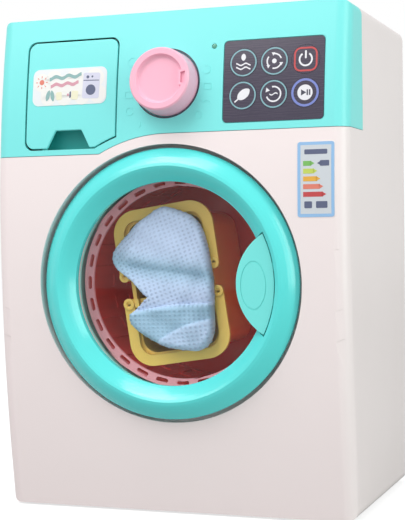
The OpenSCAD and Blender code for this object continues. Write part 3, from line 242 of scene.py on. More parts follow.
def make_brushing_group():
    """Drawn metal: fine lines along X with changing gloss."""
    group, start, end = new_group("drawn metal", {
        "Color": ("Color", (0.6, 0.6, 0.6, 1)),
        "Roughness": ("Float", 0.3),
        "Contrast": ("Float", 0.3),
    }, {"Color": "Color", "Roughness": "Float", "Normal": "Vector"})
    links = group.links
    place = node_in(group, "TexCoord")
    stretch = node_in(group, "Mapping")
    stretch.inputs["Scale"].default_value = (70, 4200, 4200)
    lines = node_in(group, "TexNoise")
    lines.inputs["Scale"].default_value = 1
    lines.inputs["Detail"].default_value = 2
    links.new(place.outputs["Object"], stretch.inputs["Vector"])
    links.new(stretch.outputs[0], lines.inputs["Vector"])
    tone = node_in(group, "HueSaturation")
    links.new(start.outputs["Color"], tone.inputs["Color"])
    around = math_in(group, "SUBTRACT", lines.outputs["Fac"], 0.5)
    links.new(math_in(group, "MULTIPLY_ADD", around, start.outputs["Contrast"], 1.0), tone.inputs["Value"])
    links.new(tone.outputs["Color"], end.inputs["Color"])
    gloss = math_in(group, "MULTIPLY_ADD", lines.outputs["Fac"], 0.25, start.outputs["Roughness"])
    links.new(gloss, end.inputs["Roughness"])
    bump = node_in(group, "Bump")
    bump.inputs["Strength"].default_value = 0.15
    bump.inputs["Distance"].default_value = 0.0001
    links.new(lines.outputs["Fac"], bump.inputs["Height"])
    links.new(bump.outputs["Normal"], end.inputs["Normal"])
    return group


MOULDING = make_moulding_group()
BRUSHING = make_brushing_group()


def new_material(name):
    material = bpy.data.materials.new(name)
    material.use_nodes = True
    return material, material.node_tree, material.node_tree.nodes["Principled BSDF"]


def group_in(tree, group, **values):
    node = tree.nodes.new("ShaderNodeGroup")
    node.node_tree = group
    for key, value in values.items():
        socket = node.inputs[key.replace("_", " ").capitalize()]
        socket.default_value = (*value, 1) if isinstance(value, tuple) else value
    return node


def join_surface(tree, surface, shader):
    for label in ("Roughness", "Normal"):
        tree.links.new(surface.outputs[label], shader.inputs[label])
    tree.links.new(surface.outputs["Color"], shader.inputs["Base Color"])


def plastic(name, colour, roughness=0.3, coat=0.0, see_through=0.0, **values):
    material, tree, shader = new_material(name)
    surface = group_in(tree, MOULDING, color=colour, roughness=roughness, **values)
    join_surface(tree, surface, shader)
    shader.inputs["IOR"].default_value = 1.5
    shader.inputs["Coat Weight"].default_value = coat
    shader.inputs["Coat Roughness"].default_value = 0.06
    shader.inputs["Transmission Weight"].default_value = see_through
    return material


def metal(name, colour, roughness=0.3):
    material, tree, shader = new_material(name)
    join_surface(tree, group_in(tree, BRUSHING, color=colour, roughness=roughness), shader)
    shader.inputs["Metallic"].default_value = 1.0
    return material


def brushed_film(name, colour):
    """A smoked film over fine level brushing."""
    material, tree, shader = new_material(name)
    join_surface(tree, group_in(tree, BRUSHING, color=colour, roughness=0.14, contrast=0.16), shader)
    shader.inputs["IOR"].default_value = 1.5
    shader.inputs["Coat Weight"].default_value = 0.15
    shader.inputs["Coat Roughness"].default_value = 0.08
    return material


def drum_plastic():
    """Tinted plastic, deep red inside the drum and pink at its front rim: the pink is painted light on the
    rim and the deep red is painted shade within.
    """
    material, tree, shader = new_material("drum red with painted rim light")
    surface = group_in(tree, MOULDING, color=(0.97, 0.085, 0.07), roughness=0.24, cloud=0.1)
    place = node_in(tree, "TexCoord")
    depth = node_in(tree, "SeparateXYZ")
    tree.links.new(place.outputs["Object"], depth.inputs[0])
    # Painted rim light: the colour turns pink over the front few millimetres of the drum, by depth.
    rim = node_in(tree, "MapRange")
    rim.inputs["From Min"].default_value = at(0, 24.6, 0).y
    rim.inputs["From Max"].default_value = at(0, 28.5, 0).y
    rim.inputs["To Min"].default_value = 1
    rim.inputs["To Max"].default_value = 0
    tree.links.new(depth.outputs["Y"], rim.inputs["Value"])
    join_surface(tree, surface, shader)
    rim_light_tint = mix_in(tree, rim.outputs[0], surface.outputs["Color"], (1.0, 0.42, 0.48))
    tree.links.new(rim_light_tint, shader.inputs["Base Color"])
    shader.inputs["IOR"].default_value = 1.5
    shader.inputs["Coat Weight"].default_value = 0.3
    return material


def waffle_weave():
    """Soft blue cloth: painted shade darkens the weave's pockets, a deeper blue is painted where the folds
    lie in shade, and fibres roughen it.
    """
    material, tree, shader = new_material("blue waffle weave")
    pocket = node_in(tree, "Attribute", attribute_name="pocket")
    shade = node_in(tree, "Attribute", attribute_name="shade")
    place = node_in(tree, "TexCoord")
    patch = node_in(tree, "TexNoise")
    patch.inputs["Scale"].default_value = 70
    patch.inputs["Detail"].default_value = 3
    tree.links.new(place.outputs["Object"], patch.inputs["Vector"])
    # Painted shade of the folds: the shade attribute turns the lit blue to a deeper, greener blue.
    blue_with_painted_shade = mix_in(tree, shade.outputs["Fac"], (0.585, 0.71, 0.95), (0.40, 0.61, 0.80))
    dark = mix_in(tree, shade.outputs["Fac"], (0.17, 0.24, 0.42), (0.12, 0.23, 0.36))
    # Painted shade in the weave's pockets, made patchy by noise.
    patchy_pocket_shade = math_in(tree, "MULTIPLY_ADD", patch.outputs["Fac"], 0.9, 0.1)
    depth = math_in(tree, "MULTIPLY", pocket.outputs["Fac"], patchy_pocket_shade, clamp=True)
    tree.links.new(mix_in(tree, depth, blue_with_painted_shade, dark), shader.inputs["Base Color"])
    fibre = node_in(tree, "TexNoise")
    fibre.inputs["Scale"].default_value = 2600
    fibre.inputs["Detail"].default_value = 4
    tree.links.new(place.outputs["Object"], fibre.inputs["Vector"])
    bump = node_in(tree, "Bump")
    bump.inputs["Strength"].default_value = 0.5
    bump.inputs["Distance"].default_value = 0.0003
    tree.links.new(fibre.outputs["Fac"], bump.inputs["Height"])
    tree.links.new(bump.outputs["Normal"], shader.inputs["Normal"])
    rough = math_in(tree, "MULTIPLY_ADD", fibre.outputs["Fac"], 0.15, 0.8)
    tree.links.new(rough, shader.inputs["Roughness"])
    shader.inputs["Sheen Weight"].default_value = 0.15
    shader.inputs["Sheen Roughness"].default_value = 0.5
    return material


def window_plastic():
    """Clear plastic with faint wiped patches."""
    material, tree, shader = new_material("clear window")
    surface = group_in(
        tree, MOULDING, color=(0.97, 0.985, 0.985), roughness=0.02, cloud=0.0, wipe=0.03, grain_height=0.0)
    tree.links.new(surface.outputs["Color"], shader.inputs["Base Color"])
    tree.links.new(surface.outputs["Roughness"], shader.inputs["Roughness"])
    shader.inputs["IOR"].default_value = 1.34
    shader.inputs["Transmission Weight"].default_value = 1.0
    return material


FINISH = {
    "white_shell": plastic("blush white shell", (0.90, 0.805, 0.80), 0.34, grain_height=0.03),
    "turquoise_shell": plastic("turquoise shell", (0.21, 0.81, 0.79), 0.36, grain_height=0.05),
    "turquoise_door": plastic("turquoise door", (0.105, 0.755, 0.735), 0.2, coat=0.25),
    "turquoise_bright": plastic("bright turquoise", (0.19, 0.81, 0.77), 0.24, coat=0.2),
    "pink_knob": plastic("pink knob", (0.96, 0.47, 0.60), 0.33, coat=0.1),
    "overlay_film": brushed_film("smoked film", (0.056, 0.047, 0.078)),
    "key_film": brushed_film("smoked key", (0.056, 0.047, 0.078)),
    "lens_green": plastic("green lens", (0.12, 0.42, 0.30), 0.12, coat=0.5),
    "board": plastic("green board", (0.02, 0.14, 0.05), 0.4),
    "black_parts": plastic("black parts", (0.02, 0.02, 0.022), 0.45, grain_height=0.2),
    "steel": metal("drawn steel", (0.62, 0.62, 0.64), 0.28),
    "inner_white": plastic("inner white", (0.70, 0.69, 0.66), 0.5, grain_height=0.15),
    "drawer_inner": plastic("pale turquoise", (0.45, 0.75, 0.72), 0.4, grain_height=0.1),
    "sticker_film": plastic("sticker paper", (0.80, 0.84, 0.86), 0.3),
    "drum_red": drum_plastic(),
    "bush_brass": metal("sintered brass", (0.70, 0.48, 0.2), 0.4),
    "gear_nylon": plastic("gear nylon", (0.82, 0.79, 0.70), 0.42, grain_height=0.1),
    "cell_jacket": plastic("cell jacket", (0.05, 0.05, 0.055), 0.25, coat=0.4),
    "rubber_feet": plastic("rubber", (0.045, 0.045, 0.048), 0.7, grain_height=0.4),
    "basket_yellow": plastic("yellow basket", (1.0, 0.665, 0.145), 0.3, coat=0.1),
    "cloth_blue": waffle_weave(),
    "window_clear": window_plastic(),
}



for part in frame["record"]["subparts"]:
    node = frame["nodes"][part["node"]]
    for held in node.material_slots:
        held.material = FINISH[part["material_slot"]]
frame["nodes"]["door_window"].visible_shadow = False
frame["nodes"]["door_window"].visible_diffuse = False
# The white tub is painted grey-green: painted shade with painted turquoise bounce light.
tub_shade_and_bounce = plastic("tub with painted shade and bounce", (0.47, 0.93, 0.86), 0.45, grain_height=0.1)
for held in frame["nodes"]["tub"].material_slots:
    held.material = tub_shade_and_bounce


# Modelling helpers

def pick(obj):
    """Leaves one object selected and active."""
    bpy.ops.object.select_all(action="DESELECT")
    obj.select_set(True)
    bpy.context.view_layer.objects.active = obj


def edit(obj, what="FACE", whole=False):
    """Opens one object for editing, with all of it selected or nothing."""
    pick(obj)
    bpy.ops.object.mode_set(mode="EDIT")
    bpy.ops.mesh.select_mode(type=what)
    bpy.ops.mesh.select_all(action="SELECT" if whole else "DESELECT")


def close():
    bpy.ops.object.mode_set(mode="OBJECT")


def name_piece(obj, name):
    obj.name = name
    obj.data.name = name


def apply_all(obj):
    pick(obj)
    for modifier in list(obj.modifiers):
        bpy.ops.object.modifier_apply(modifier=modifier.name)


def settle(obj, material, body, smooth=40):
    """Finishes a piece: its place in its mesh, its material and the body that it rides on."""
    pick(obj)
    bpy.ops.object.transform_apply(location=True, rotation=True, scale=True)
    bpy.ops.object.shade_smooth_by_angle(angle=math.radians(smooth))
    obj.data.materials.clear()
    obj.data.materials.append(material)
    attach(obj, body)
    return obj


FLAT_TURN = 0.6
EDGE_TURN = 34


def eased(node, name, radius):
    """A copy of a CAD node with its sharp edges rounded, which stands for the node."""
    source = frame["nodes"][node]
    pick(source)
    bpy.ops.object.duplicate()
    copy = bpy.context.object
    name_piece(copy, name)
    copy.parent = None
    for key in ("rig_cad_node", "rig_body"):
        if key in copy:
            del copy[key]
    if copy.data.has_custom_normals:
        bpy.ops.mesh.customdata_custom_splitnormals_clear()
    bpy.ops.object.mode_set(mode="EDIT")
    bpy.ops.mesh.select_all(action="SELECT")
    bpy.ops.mesh.remove_doubles(threshold=0.004 * MM)
    bpy.ops.mesh.dissolve_limited(angle_limit=math.radians(FLAT_TURN))
    close()
    bevel = copy.modifiers.new("eased edges", "BEVEL")
    bevel.width = radius * MM
    bevel.segments = 2
    bevel.limit_method = "ANGLE"
    bevel.angle_limit = math.radians(EDGE_TURN)
    bevel.use_clamp_overlap = True
    apply_all(copy)
    slot = next(p["material_slot"] for p in frame["record"]["subparts"] if p["node"] == node)
    settle(copy, FINISH[slot], source["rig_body"])
    even = copy.modifiers.new("even shading", "WEIGHTED_NORMAL")
    even.keep_sharp = True
    apply_all(copy)
    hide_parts(node)
    return copy


EASED = (
    ("control_fascia", "fascia_shell", 0.35),
    ("cabinet_body", "cabinet_shell", 0.5),
    ("drawer_front", "drawer_face", 0.6),
    ("door_handle", "handle_lens", 0.6),
    ("program_knob", "knob_body", 0.6),
    ("basket_tub", "basket_shell", 0.4),
    ("basket_handle_upper", "basket_bail_upper", 0.7),
    ("basket_handle_lower", "basket_bail_lower", 0.7),
)
for entry in EASED:
    eased(*entry)


# Prints on the curved front

LEAN_LOW = 13.5
LEAN_TOP = 12.0
BELLY_Z = 162.5
CABINET_H = 280
CUT_STEP = 2.5
UPRIGHT = (math.pi / 2, 0, 0)


def front_depth(z):
    """Depth of the cabinet's curved front at a height, in millimetres."""
    lean, tall = (LEAN_LOW, BELLY_Z) if z < BELLY_Z else (LEAN_TOP, CABINET_H - BELLY_Z)
    radius = (tall * tall + lean * lean) / (2 * lean)
    return radius - math.sqrt(radius * radius - (z - BELLY_Z) ** 2)


def choose(obj, kind, wanted):
    """Selects vertices or faces of the open mesh by their place."""
    mesh = bmesh.from_edit_mesh(obj.data)
    for item in getattr(mesh, kind):
        spot = item.calc_center_median() if kind == "faces" else item.co
        item.select_set(bool(wanted(spot)))
    mesh.select_flush_mode()
    bmesh.update_edit_mesh(obj.data)


def put_flat(shape, x, z, turn=0.0):
    """Turns a flat shape in X and Z and moves it to a place given in millimetres."""
    shape.rotation_euler = (0, -math.radians(turn), 0)
    shape.location = (x * MM, 0, z * MM)
    bpy.ops.object.transform_apply(location=True, rotation=True, scale=True)
    return shape


def open_middle(shape, width):
    """Leaves only a rim of the shape: an inset whose middle is deleted."""
    edit(shape, whole=True)
    bpy.ops.mesh.inset(thickness=width * MM)
    bpy.ops.mesh.delete(type="FACE")
    close()


def flat_disc(x, z, r, sides=40, turn=0.0):
    """A flat disc in millimetres, drawn in X and Z."""
    bpy.ops.mesh.primitive_circle_add(
        vertices=sides, radius=r * MM, fill_type="NGON", rotation=UPRIGHT)
    disc = bpy.context.object
    bpy.ops.object.transform_apply(location=True, rotation=True, scale=True)
    return put_flat(disc, x, z, turn)


def flat_ring(x, z, r, width, start=0.0, span=360.0, sides=56):
    """A flat ring, or the part of one that spans an angle from its start."""
    ring = flat_disc(0, 0, r, sides)
    open_middle(ring, width)
    if span < 360:
        edit(ring)
        choose(ring, "faces", lambda p: (math.degrees(math.atan2(p.z, p.x)) - start) % 360 > span)
        bpy.ops.mesh.delete(type="FACE")
        close()
    return put_flat(ring, x, z)


def flat_panel(x, z, w, h, turn=0.0, corner=0.0, cuts=0):
    """A flat rectangle, with rounded corners where a radius is given."""
    bpy.ops.mesh.primitive_plane_add(size=1, rotation=UPRIGHT)
    panel = bpy.context.object
    panel.scale = (w * MM, h * MM, 1)
    bpy.ops.object.transform_apply(location=True, rotation=True, scale=True)
    if cuts:
        edit(panel, whole=True)
        bpy.ops.mesh.subdivide(number_cuts=cuts)
        close()
    if corner:
        edit(panel, "VERT", whole=True)
        bpy.ops.mesh.bevel(offset=corner * MM, segments=5, affect="VERTICES")
        close()
    return put_flat(panel, x, z, turn)


def flat_frame(x, z, w, h, width, corner):
    """A rectangular outline with rounded corners."""
    outline = flat_panel(0, 0, w, h, 0, corner)
    open_middle(outline, width)
    return put_flat(outline, x, z)


def flat_wave(x, z, length, width, height, swings=2.0, turn=0.0):
    """A wavy stroke."""
    wave = flat_panel(0, 0, length, width, cuts=23)
    for vertex in wave.data.vertices:
        vertex.co.z += height * MM * math.sin(vertex.co.x / MM / length * swings * 2 * math.pi)
    return put_flat(wave, x, z, turn)


def flat_leaf(x, z, length, width, turn):
    """A pointed leaf: a disc whose ends are drawn out."""
    leaf = flat_disc(0, 0, length / 2)
    for vertex in leaf.data.vertices:
        share = min(abs(vertex.co.x) / (length * MM / 2), 1)
        vertex.co.z *= width / length * (1 - 0.35 * share ** 4)
    return put_flat(leaf, x, z, turn)


def join_flat(name, shapes):
    bpy.ops.object.select_all(action="DESELECT")
    for shape in shapes:
        shape.select_set(True)
    bpy.context.view_layer.objects.active = shapes[0]
    if len(shapes) > 1:
        bpy.ops.object.join()
    joined = bpy.context.object
    name_piece(joined, name)
    return joined


def face_front(piece):
    """Turns the faces of an open sheet to the front."""
    edit(piece, whole=True)
    bpy.ops.mesh.normals_make_consistent(inside=False)
    close()
    if sum(face.normal.y for face in piece.data.polygons) > 0:
        edit(piece, whole=True)
        bpy.ops.mesh.flip_normals()
        close()


def print_on_front(name, shapes, material, body, lift=0.03, thick=0.04):
    """Flat shapes joined, laid on the curved front and given the thickness of a print."""
    piece = join_flat(name, shapes)
    edit(piece)
    levels = [v.co.z / MM for v in piece.data.vertices]
    for step in range(int(min(levels) / CUT_STEP) + 1, int(max(levels) / CUT_STEP) + 1):
        bpy.ops.mesh.select_all(action="SELECT")
        bpy.ops.mesh.bisect(plane_co=(0, 0, step * CUT_STEP * MM), plane_no=(0, 0, 1))
    bpy.ops.mesh.select_all(action="SELECT")
    bpy.ops.mesh.quads_convert_to_tris(ngon_method="CLIP")
    close()
    for vertex in piece.data.vertices:
        x, z = vertex.co.x / MM, vertex.co.z / MM
        vertex.co = at(x, front_depth(z) - lift, z)
    face_front(piece)
    thicken = piece.modifiers.new("print thickness", "SOLIDIFY")
    thicken.thickness = thick * MM
    thicken.offset = 1
    apply_all(piece)
    return settle(piece, material, body, smooth=30)


INK = {
    "periwinkle": plastic("periwinkle ink", (0.20, 0.25, 0.60), 0.3, cloud=0.06),
    "pale_teal": plastic("pale teal ink", (0.23, 0.44, 0.49), 0.3, cloud=0.06),
    "white": plastic("white ink", (0.80, 0.80, 0.84), 0.35, cloud=0.04),
    "red": plastic("red ink", (0.56, 0.07, 0.075), 0.3, cloud=0.06),
    "dark": plastic("dark ink", (0.055, 0.055, 0.085), 0.32),
    "teal": plastic("teal ink", (0.27, 0.46, 0.45), 0.4, cloud=0.06),
    "pink": plastic("pink ink", (0.66, 0.33, 0.40), 0.4, cloud=0.06),
    "cream": plastic("cream ink", (0.83, 0.81, 0.60), 0.4, cloud=0.04),
    "lavender": plastic("lavender ink", (0.66, 0.67, 0.80), 0.4, cloud=0.04),
    "slate": plastic("slate ink", (0.11, 0.13, 0.22), 0.35),
    "coral": plastic("coral ink", (0.75, 0.22, 0.16), 0.38),
    "sky": plastic("sky ink", (0.30, 0.52, 0.80), 0.38),
    "grey": plastic("grey ink", (0.62, 0.66, 0.70), 0.4),
    "green": plastic("green ink", (0.20, 0.50, 0.12), 0.38),
    "lime": plastic("lime ink", (0.55, 0.66, 0.12), 0.38),
    "amber": plastic("amber ink", (0.80, 0.42, 0.06), 0.38),
    "paper": plastic("white paper", (0.86, 0.86, 0.83), 0.32, coat=0.15),
}
KEY_X = (45.55, 63.0, 80.45)
KEY_Z = (247.95, 230.05)
KNOB_AT = (1.2, 239)


def add_key_prints():
    """The outlines and signs on the six keys; each rides on its own key."""
    (ax, bx, cx), (tz, lz) = KEY_X, KEY_Z
    plain = (("key_soak", ax, tz), ("key_spin", bx, tz), ("key_leaf", ax, lz), ("key_rounds", bx, lz))
    for name, x, z in plain:
        print_on_front(name + "_ring", [flat_ring(x, z, 7.5, 0.75)], INK["pale_teal"], name)
    print_on_front("key_power_frame", [flat_frame(cx, tz, 13.0, 13.2, 0.95, 3.7)], INK["red"], "key_power")
    print_on_front("key_start_ring", [flat_ring(cx, lz, 7.6, 1.25)], INK["periwinkle"], "key_start")
    print_on_front("key_soak_sign", [
        flat_wave(ax, tz - 3.0, 8.2, 0.8, 0.55, 1.5), flat_wave(ax, tz - 0.9, 8.2, 0.8, 0.55, 1.5),
        flat_leaf(ax, tz + 3.0, 3.9, 2.6, 90)], INK["white"], "key_soak")
    arcs = [flat_ring(bx, tz, 4.4, 0.8, start, 80) for start in (20, 140, 260)]
    tips = [flat_disc(bx + dx, tz + dz, 1.2, 3, turn)
            for dx, dz, turn in ((-0.6, 4.1, 60), (-3.3, -2.7, 180), (3.9, -1.5, -60))]
    print_on_front("key_spin_sign", arcs + tips + [flat_disc(bx, tz, 1.3, 24)], INK["white"], "key_spin")
    print_on_front("key_power_sign", [
        flat_ring(cx, tz, 3.9, 0.95, 125, 290), flat_panel(cx, tz + 2.6, 1.0, 4.4, 0, 0.4)],
        INK["white"], "key_power")
    print_on_front("key_leaf_sign", [
        flat_leaf(ax + 0.5, lz + 0.6, 8.4, 5.0, 38), flat_panel(ax - 3.5, lz - 2.7, 2.6, 0.8, 40, 0.3)],
        INK["white"], "key_leaf")
    print_on_front("key_rounds_sign", [
        flat_ring(bx, lz, 4.4, 0.85, 200, 265), flat_disc(bx - 3.5, lz + 2.2, 1.5, 3, 20),
        flat_wave(bx, lz, 4.6, 0.7, 0.5, 1)], INK["white"], "key_rounds")
    print_on_front("key_start_disc", [flat_disc(cx, lz, 4.2)], INK["white"], "key_start")
    bars = [flat_panel(cx + dx, lz, 0.75, 3.1) for dx in (1.3, 2.6)]
    print_on_front("key_start_sign", [flat_disc(cx - 1.2, lz, 1.9, 3, -90)] + bars,
                   INK["dark"], "key_start", lift=0.075)


STICKER_LIFT = 0.16
STICKER_TOP = 0.22
STICKER_AT = (-57.9, 239.9)
LABEL_AT = (86.8, 183.7)
LOBES = (
    (-17.5, 3.2, 5.2), (-10, 5.2, 4.8), (3, 5.2, 5.0), (15.5, 4.4, 5.6), (17.6, -4.6, 5.2), (8, -5.6, 4.8),
    (-3, -5.8, 4.6), (-13.2, -5.4, 4.8))


def add_drawer_sticker():
    """A cloud-edged sticker on the drawer, with a sun, waves, leaves and a small machine."""
    x, z = STICKER_AT

    def stamp(name, shapes, ink, lift=STICKER_TOP):
        return print_on_front(name, shapes, INK[ink], "drawer", lift=lift)

    lobes = [flat_disc(x + dx, z + dz, r) for dx, dz, r in LOBES]
    sheet = stamp("drawer_sticker", lobes + [flat_panel(x, z, 36, 13.5, 0, 2)], "paper", STICKER_LIFT)
    sun_x, sun_z, ray = x - 17.6, z + 3.4, 3.1
    rays = [flat_panel(sun_x + ray * math.cos(a), sun_z + ray * math.sin(a), 1.2, 0.45, math.degrees(a))
            for a in [k * math.pi / 4 for k in range(8)]]
    stamp("sticker_spots", [flat_disc(sun_x, sun_z, 1.5)] + rays, "coral")
    stamp("sticker_teal", [
        flat_wave(x - 2.8, z + 6.0, 20, 2.0, 0.7, 2.5, 3), flat_leaf(x - 13.4, z - 4.4, 6.4, 2.4, 76),
        flat_leaf(x - 10.6, z - 4.6, 6.4, 2.4, 100)], "teal")
    stamp("sticker_pink", [
        flat_wave(x - 3.2, z + 1.7, 17.5, 1.9, 0.6, 2.5, 3), flat_disc(x - 0.8, z - 4.4, 0.7, 16)], "pink")
    stamp("sticker_cream", [
        flat_panel(x - 6.4, z - 4.9, 3.6, 4.6, 5, 0.8),
        flat_panel(x + 3.4, z - 4.8, 4.2, 5.0, -4, 0.9)], "cream")
    stamp("sticker_lavender", [flat_panel(x + 13.4, z + 0.2, 10.4, 14.6, -2, 1.2)], "lavender")
    stamp("sticker_slate", [
        flat_disc(x + 13.2, z - 2.2, 3.0), flat_panel(x + 13.4, z + 3.2, 9.6, 0.5, -2),
        flat_disc(x + 11.2, z + 5.2, 0.9, 20), flat_disc(x + 14.0, z + 5.3, 0.6, 20),
        flat_wave(x + 0.6, z - 4.4, 0.9, 3.4, 0.2, 1, 0)], "slate", STICKER_TOP + 0.03)


def add_label():
    """A tall sticker on the front at the right: a frame, five arrowed bars and plain marks."""
    x, z = LABEL_AT

    def stamp(name, shapes, ink, lift=STICKER_TOP):
        return print_on_front(name, shapes, INK[ink], "cabinet", lift=lift)

    stamp("label_frame", [flat_frame(x, z, 20.1, 39.8, 1.7, 1.4)], "sky", STICKER_LIFT)
    stamp("label_field", [flat_panel(x, z, 16.8, 36.5)], "grey", STICKER_LIFT)
    for k, ink in enumerate(("green", "lime", "amber", "coral", "red")):
        length, bar_z = 4.4 + 1.6 * k, z + 8.5 - 4.1 * k
        stamp("label_bar_" + str(k + 1), [
            flat_panel(x - 6.9 + length / 2, bar_z, length, 2.6),
            flat_disc(x - 6.6 + length, bar_z, 1.5, 3, -90)], ink)
    stamp("label_marks", [
        flat_panel(x + 4.8, z + 8.5, 5.0, 3.0, 0, 0.4), flat_disc(x + 2.4, z + 8.5, 1.75, 3, 90),
        flat_panel(x, z + 14.6, 12.5, 2.6, 0, 0.5), flat_panel(x - 4.2, z - 13.4, 4.2, 3.6, 0, 0.5),
        flat_panel(x + 3.2, z - 13.4, 6.2, 3.6, 0, 0.5)], "slate")


def add_relief():
    """Faint raised signs beside the knob, of the fascia's own colour."""
    signs = [
        flat_ring(-19.9, 252.0, 2.6, 0.5), flat_wave(-20.2, 243.2, 5.2, 0.6, 0.6, 1.5),
        flat_frame(-21.2, 233.6, 5.0, 4.2, 0.5, 0.9), flat_ring(-20.4, 224.4, 2.4, 0.5, 30, 300),
        flat_leaf(-14.6, 216.9, 3.4, 2.2, 90), flat_ring(24.4, 245.6, 2.5, 0.5, 200, 280),
        flat_frame(25.2, 236.3, 4.8, 4.0, 0.5, 0.9), flat_wave(24.2, 228.2, 5.0, 0.6, 0.5, 1.5),
        flat_ring(20.4, 220.8, 2.3, 0.5)]
    piece = print_on_front(
        "fascia_signs", signs, FINISH["turquoise_shell"], "cabinet", lift=-0.05, thick=0.22)


SHADE_SHEET_X = -58
SHADE_SHEET_Y = 10.15
SHADE_SHEET_Z = 209.6
SHADE_SHEET_W = 32.4
SHADE_SHEET_H = 11.6


def add_pocket_shade_sheet():
    """A dark turquoise sheet at the back of the finger pocket under the drawer's notch: painted shade in
    the pocket.
    """
    shade_sheet = flat_panel(SHADE_SHEET_X, 0, SHADE_SHEET_W, SHADE_SHEET_H, 0, 1.5)
    name_piece(shade_sheet, "pocket_shade_sheet")
    shade_sheet.location = at(0, SHADE_SHEET_Y, SHADE_SHEET_Z)
    bpy.ops.object.transform_apply(location=True)
    wall = shade_sheet.modifiers.new("lining thickness", "SOLIDIFY")
    wall.thickness = 0.3 * MM
    wall.offset = 0
    apply_all(shade_sheet)
    shaded = plastic("painted pocket shade", (0.02, 0.36, 0.34), 0.5, grain_height=0.1)
    settle(shade_sheet, shaded, "cabinet", smooth=30)


def add_knob_gap_shade():
    """A dark ring at the mouth of the well that the knob sits in: painted shade for the gap between the
    knob and the fascia.
    """
    line = flat_ring(*KNOB_AT, 19.5, 0.75, sides=96)
    print_on_front("knob_gap_shade", [line], INK["dark"], "cabinet", lift=-0.02)


add_key_prints()
add_drawer_sticker()
add_label()
add_relief()
add_pocket_shade_sheet()
add_knob_gap_shade()


# Round bosses over the pivots of the basket's handles

BASKET_AT = (-5.4, 127.6)
BASKET_TURN = math.radians(8.5)
BOSS_AT = (27.4, 8.0)
BOSS_Y = 24.3
BOSS_R = 3.3
BOSS_H = 1.2
BOSS_RIM = 1.9
BOSS_SUNK = 0.9


def add_boss(name, side, end, body):
    """A flat boss with a sunk pivot, turned on the end of one handle arm."""
    u, v = side * BOSS_AT[0], end * BOSS_AT[1]
    x = BASKET_AT[0] + u * math.cos(BASKET_TURN) - v * math.sin(BASKET_TURN)
    z = BASKET_AT[1] + u * math.sin(BASKET_TURN) + v * math.cos(BASKET_TURN)
    bpy.ops.mesh.primitive_cylinder_add(
        vertices=40, radius=BOSS_R * MM, depth=BOSS_H * MM, location=at(x, BOSS_Y, z), rotation=UPRIGHT)
    boss = bpy.context.object
    name_piece(boss, name)
    bpy.ops.object.transform_apply(location=True, rotation=True, scale=True)
    edit(boss)
    front = min(v.co.y for v in boss.data.vertices)
    choose(boss, "faces", lambda p: p.y < front + 0.05 * MM)
    bpy.ops.mesh.inset(thickness=BOSS_RIM * MM)
    bpy.ops.mesh.extrude_region_move(TRANSFORM_OT_translate={"value": (0, BOSS_SUNK * MM, 0)})
    close()
    soften = boss.modifiers.new("soft rim", "BEVEL")
    soften.width = 0.35 * MM
    soften.segments = 2
    soften.limit_method = "ANGLE"
    apply_all(boss)
    settle(boss, FINISH["basket_yellow"], body, smooth=40)


for side, hand in ((-1, "left"), (1, "right")):
    add_boss("upper_pivot_" + hand, side, 1, "drum")
    add_boss("lower_pivot_" + hand, side, -1, "lower_bail")


# The folded cloth

CLOTH_MIDDLE = (-6.0, 130.0)
CLOTH_EDGE = (
    (-5.9, 170.7), (4.2, 167.6), (10.4, 164.3), (15.0, 158.0), (17.3, 150.8), (19.1, 141.9),
    (20.8, 131.1), (21.2, 122.2), (21.4, 113.3), (21.4, 104.4), (20.6, 98.2), (17.6, 93.4),
    (12.1, 90.6), (5.9, 90.9), (-3.7, 92.0), (-11.5, 94.5), (-19.2, 98.6), (-25.4, 102.9),
    (-27.6, 106.9), (-26.0, 110.8), (-20.0, 112.6), (-13.0, 113.7), (-13.6, 117.0), (-19.4, 122.4),
    (-25.6, 128.6), (-31.8, 133.4), (-37.4, 137.4), (-39.4, 142.4), (-37.6, 147.4), (-32.2, 153.1),
    (-25.2, 160.4), (-17.2, 165.9), (-11.3, 169.6))
CLOTH_BACK = 24.0
CLOTH_ROLL = 2.6
CLOTH_HEM = 13.0
CLOTH_SPREAD = 33.0
CLOTH_THICK = 0.6
POCKET_DEPTH = 0.42
POCKET_PITCH = (2.7, 2.3)
CLOTH_TUCK = ((-28.0, 111.6), (21.5, 117.2))
CLOTH_STEPS = 198


def spline_at(points, t):
    """A point of the closed smooth curve through the points, for t from 0 to 1."""
    count = len(points)
    k = int(t * count) % count
    f = t * count - int(t * count)
    a, b, c, d = (Vector(points[(k + j) % count]) for j in (-1, 0, 1, 2))
    bend = 2 * a - 5 * b + 4 * c - d
    twist = 3 * b - a - 3 * c + d
    return 0.5 * (2 * b + (c - a) * f + bend * f * f + twist * f ** 3)


def soft_step(value, width):
    return 0.5 * (1 + math.tanh(value / width))


def bell(value, width):
    return math.exp(-(value / width) ** 2)


def tuck_height(x):
    (x0, z0), (x1, z1) = CLOTH_TUCK
    share = (x - x0) / (x1 - x0)
    return z0 + (z1 - z0) * share + 1.3 * math.sin(math.pi * share) - 1.0


def past_crease(x, z):
    """Distance from the crease that runs down from the top corner; less than 0 is to its left."""
    return (x + 17.5) * 0.87 - (z - 161) * 0.42


def valley_height(x, middle):
    """Height of the valley across the cloth, which falls a little to the right."""
    return middle - 0.135 * (x + 8)


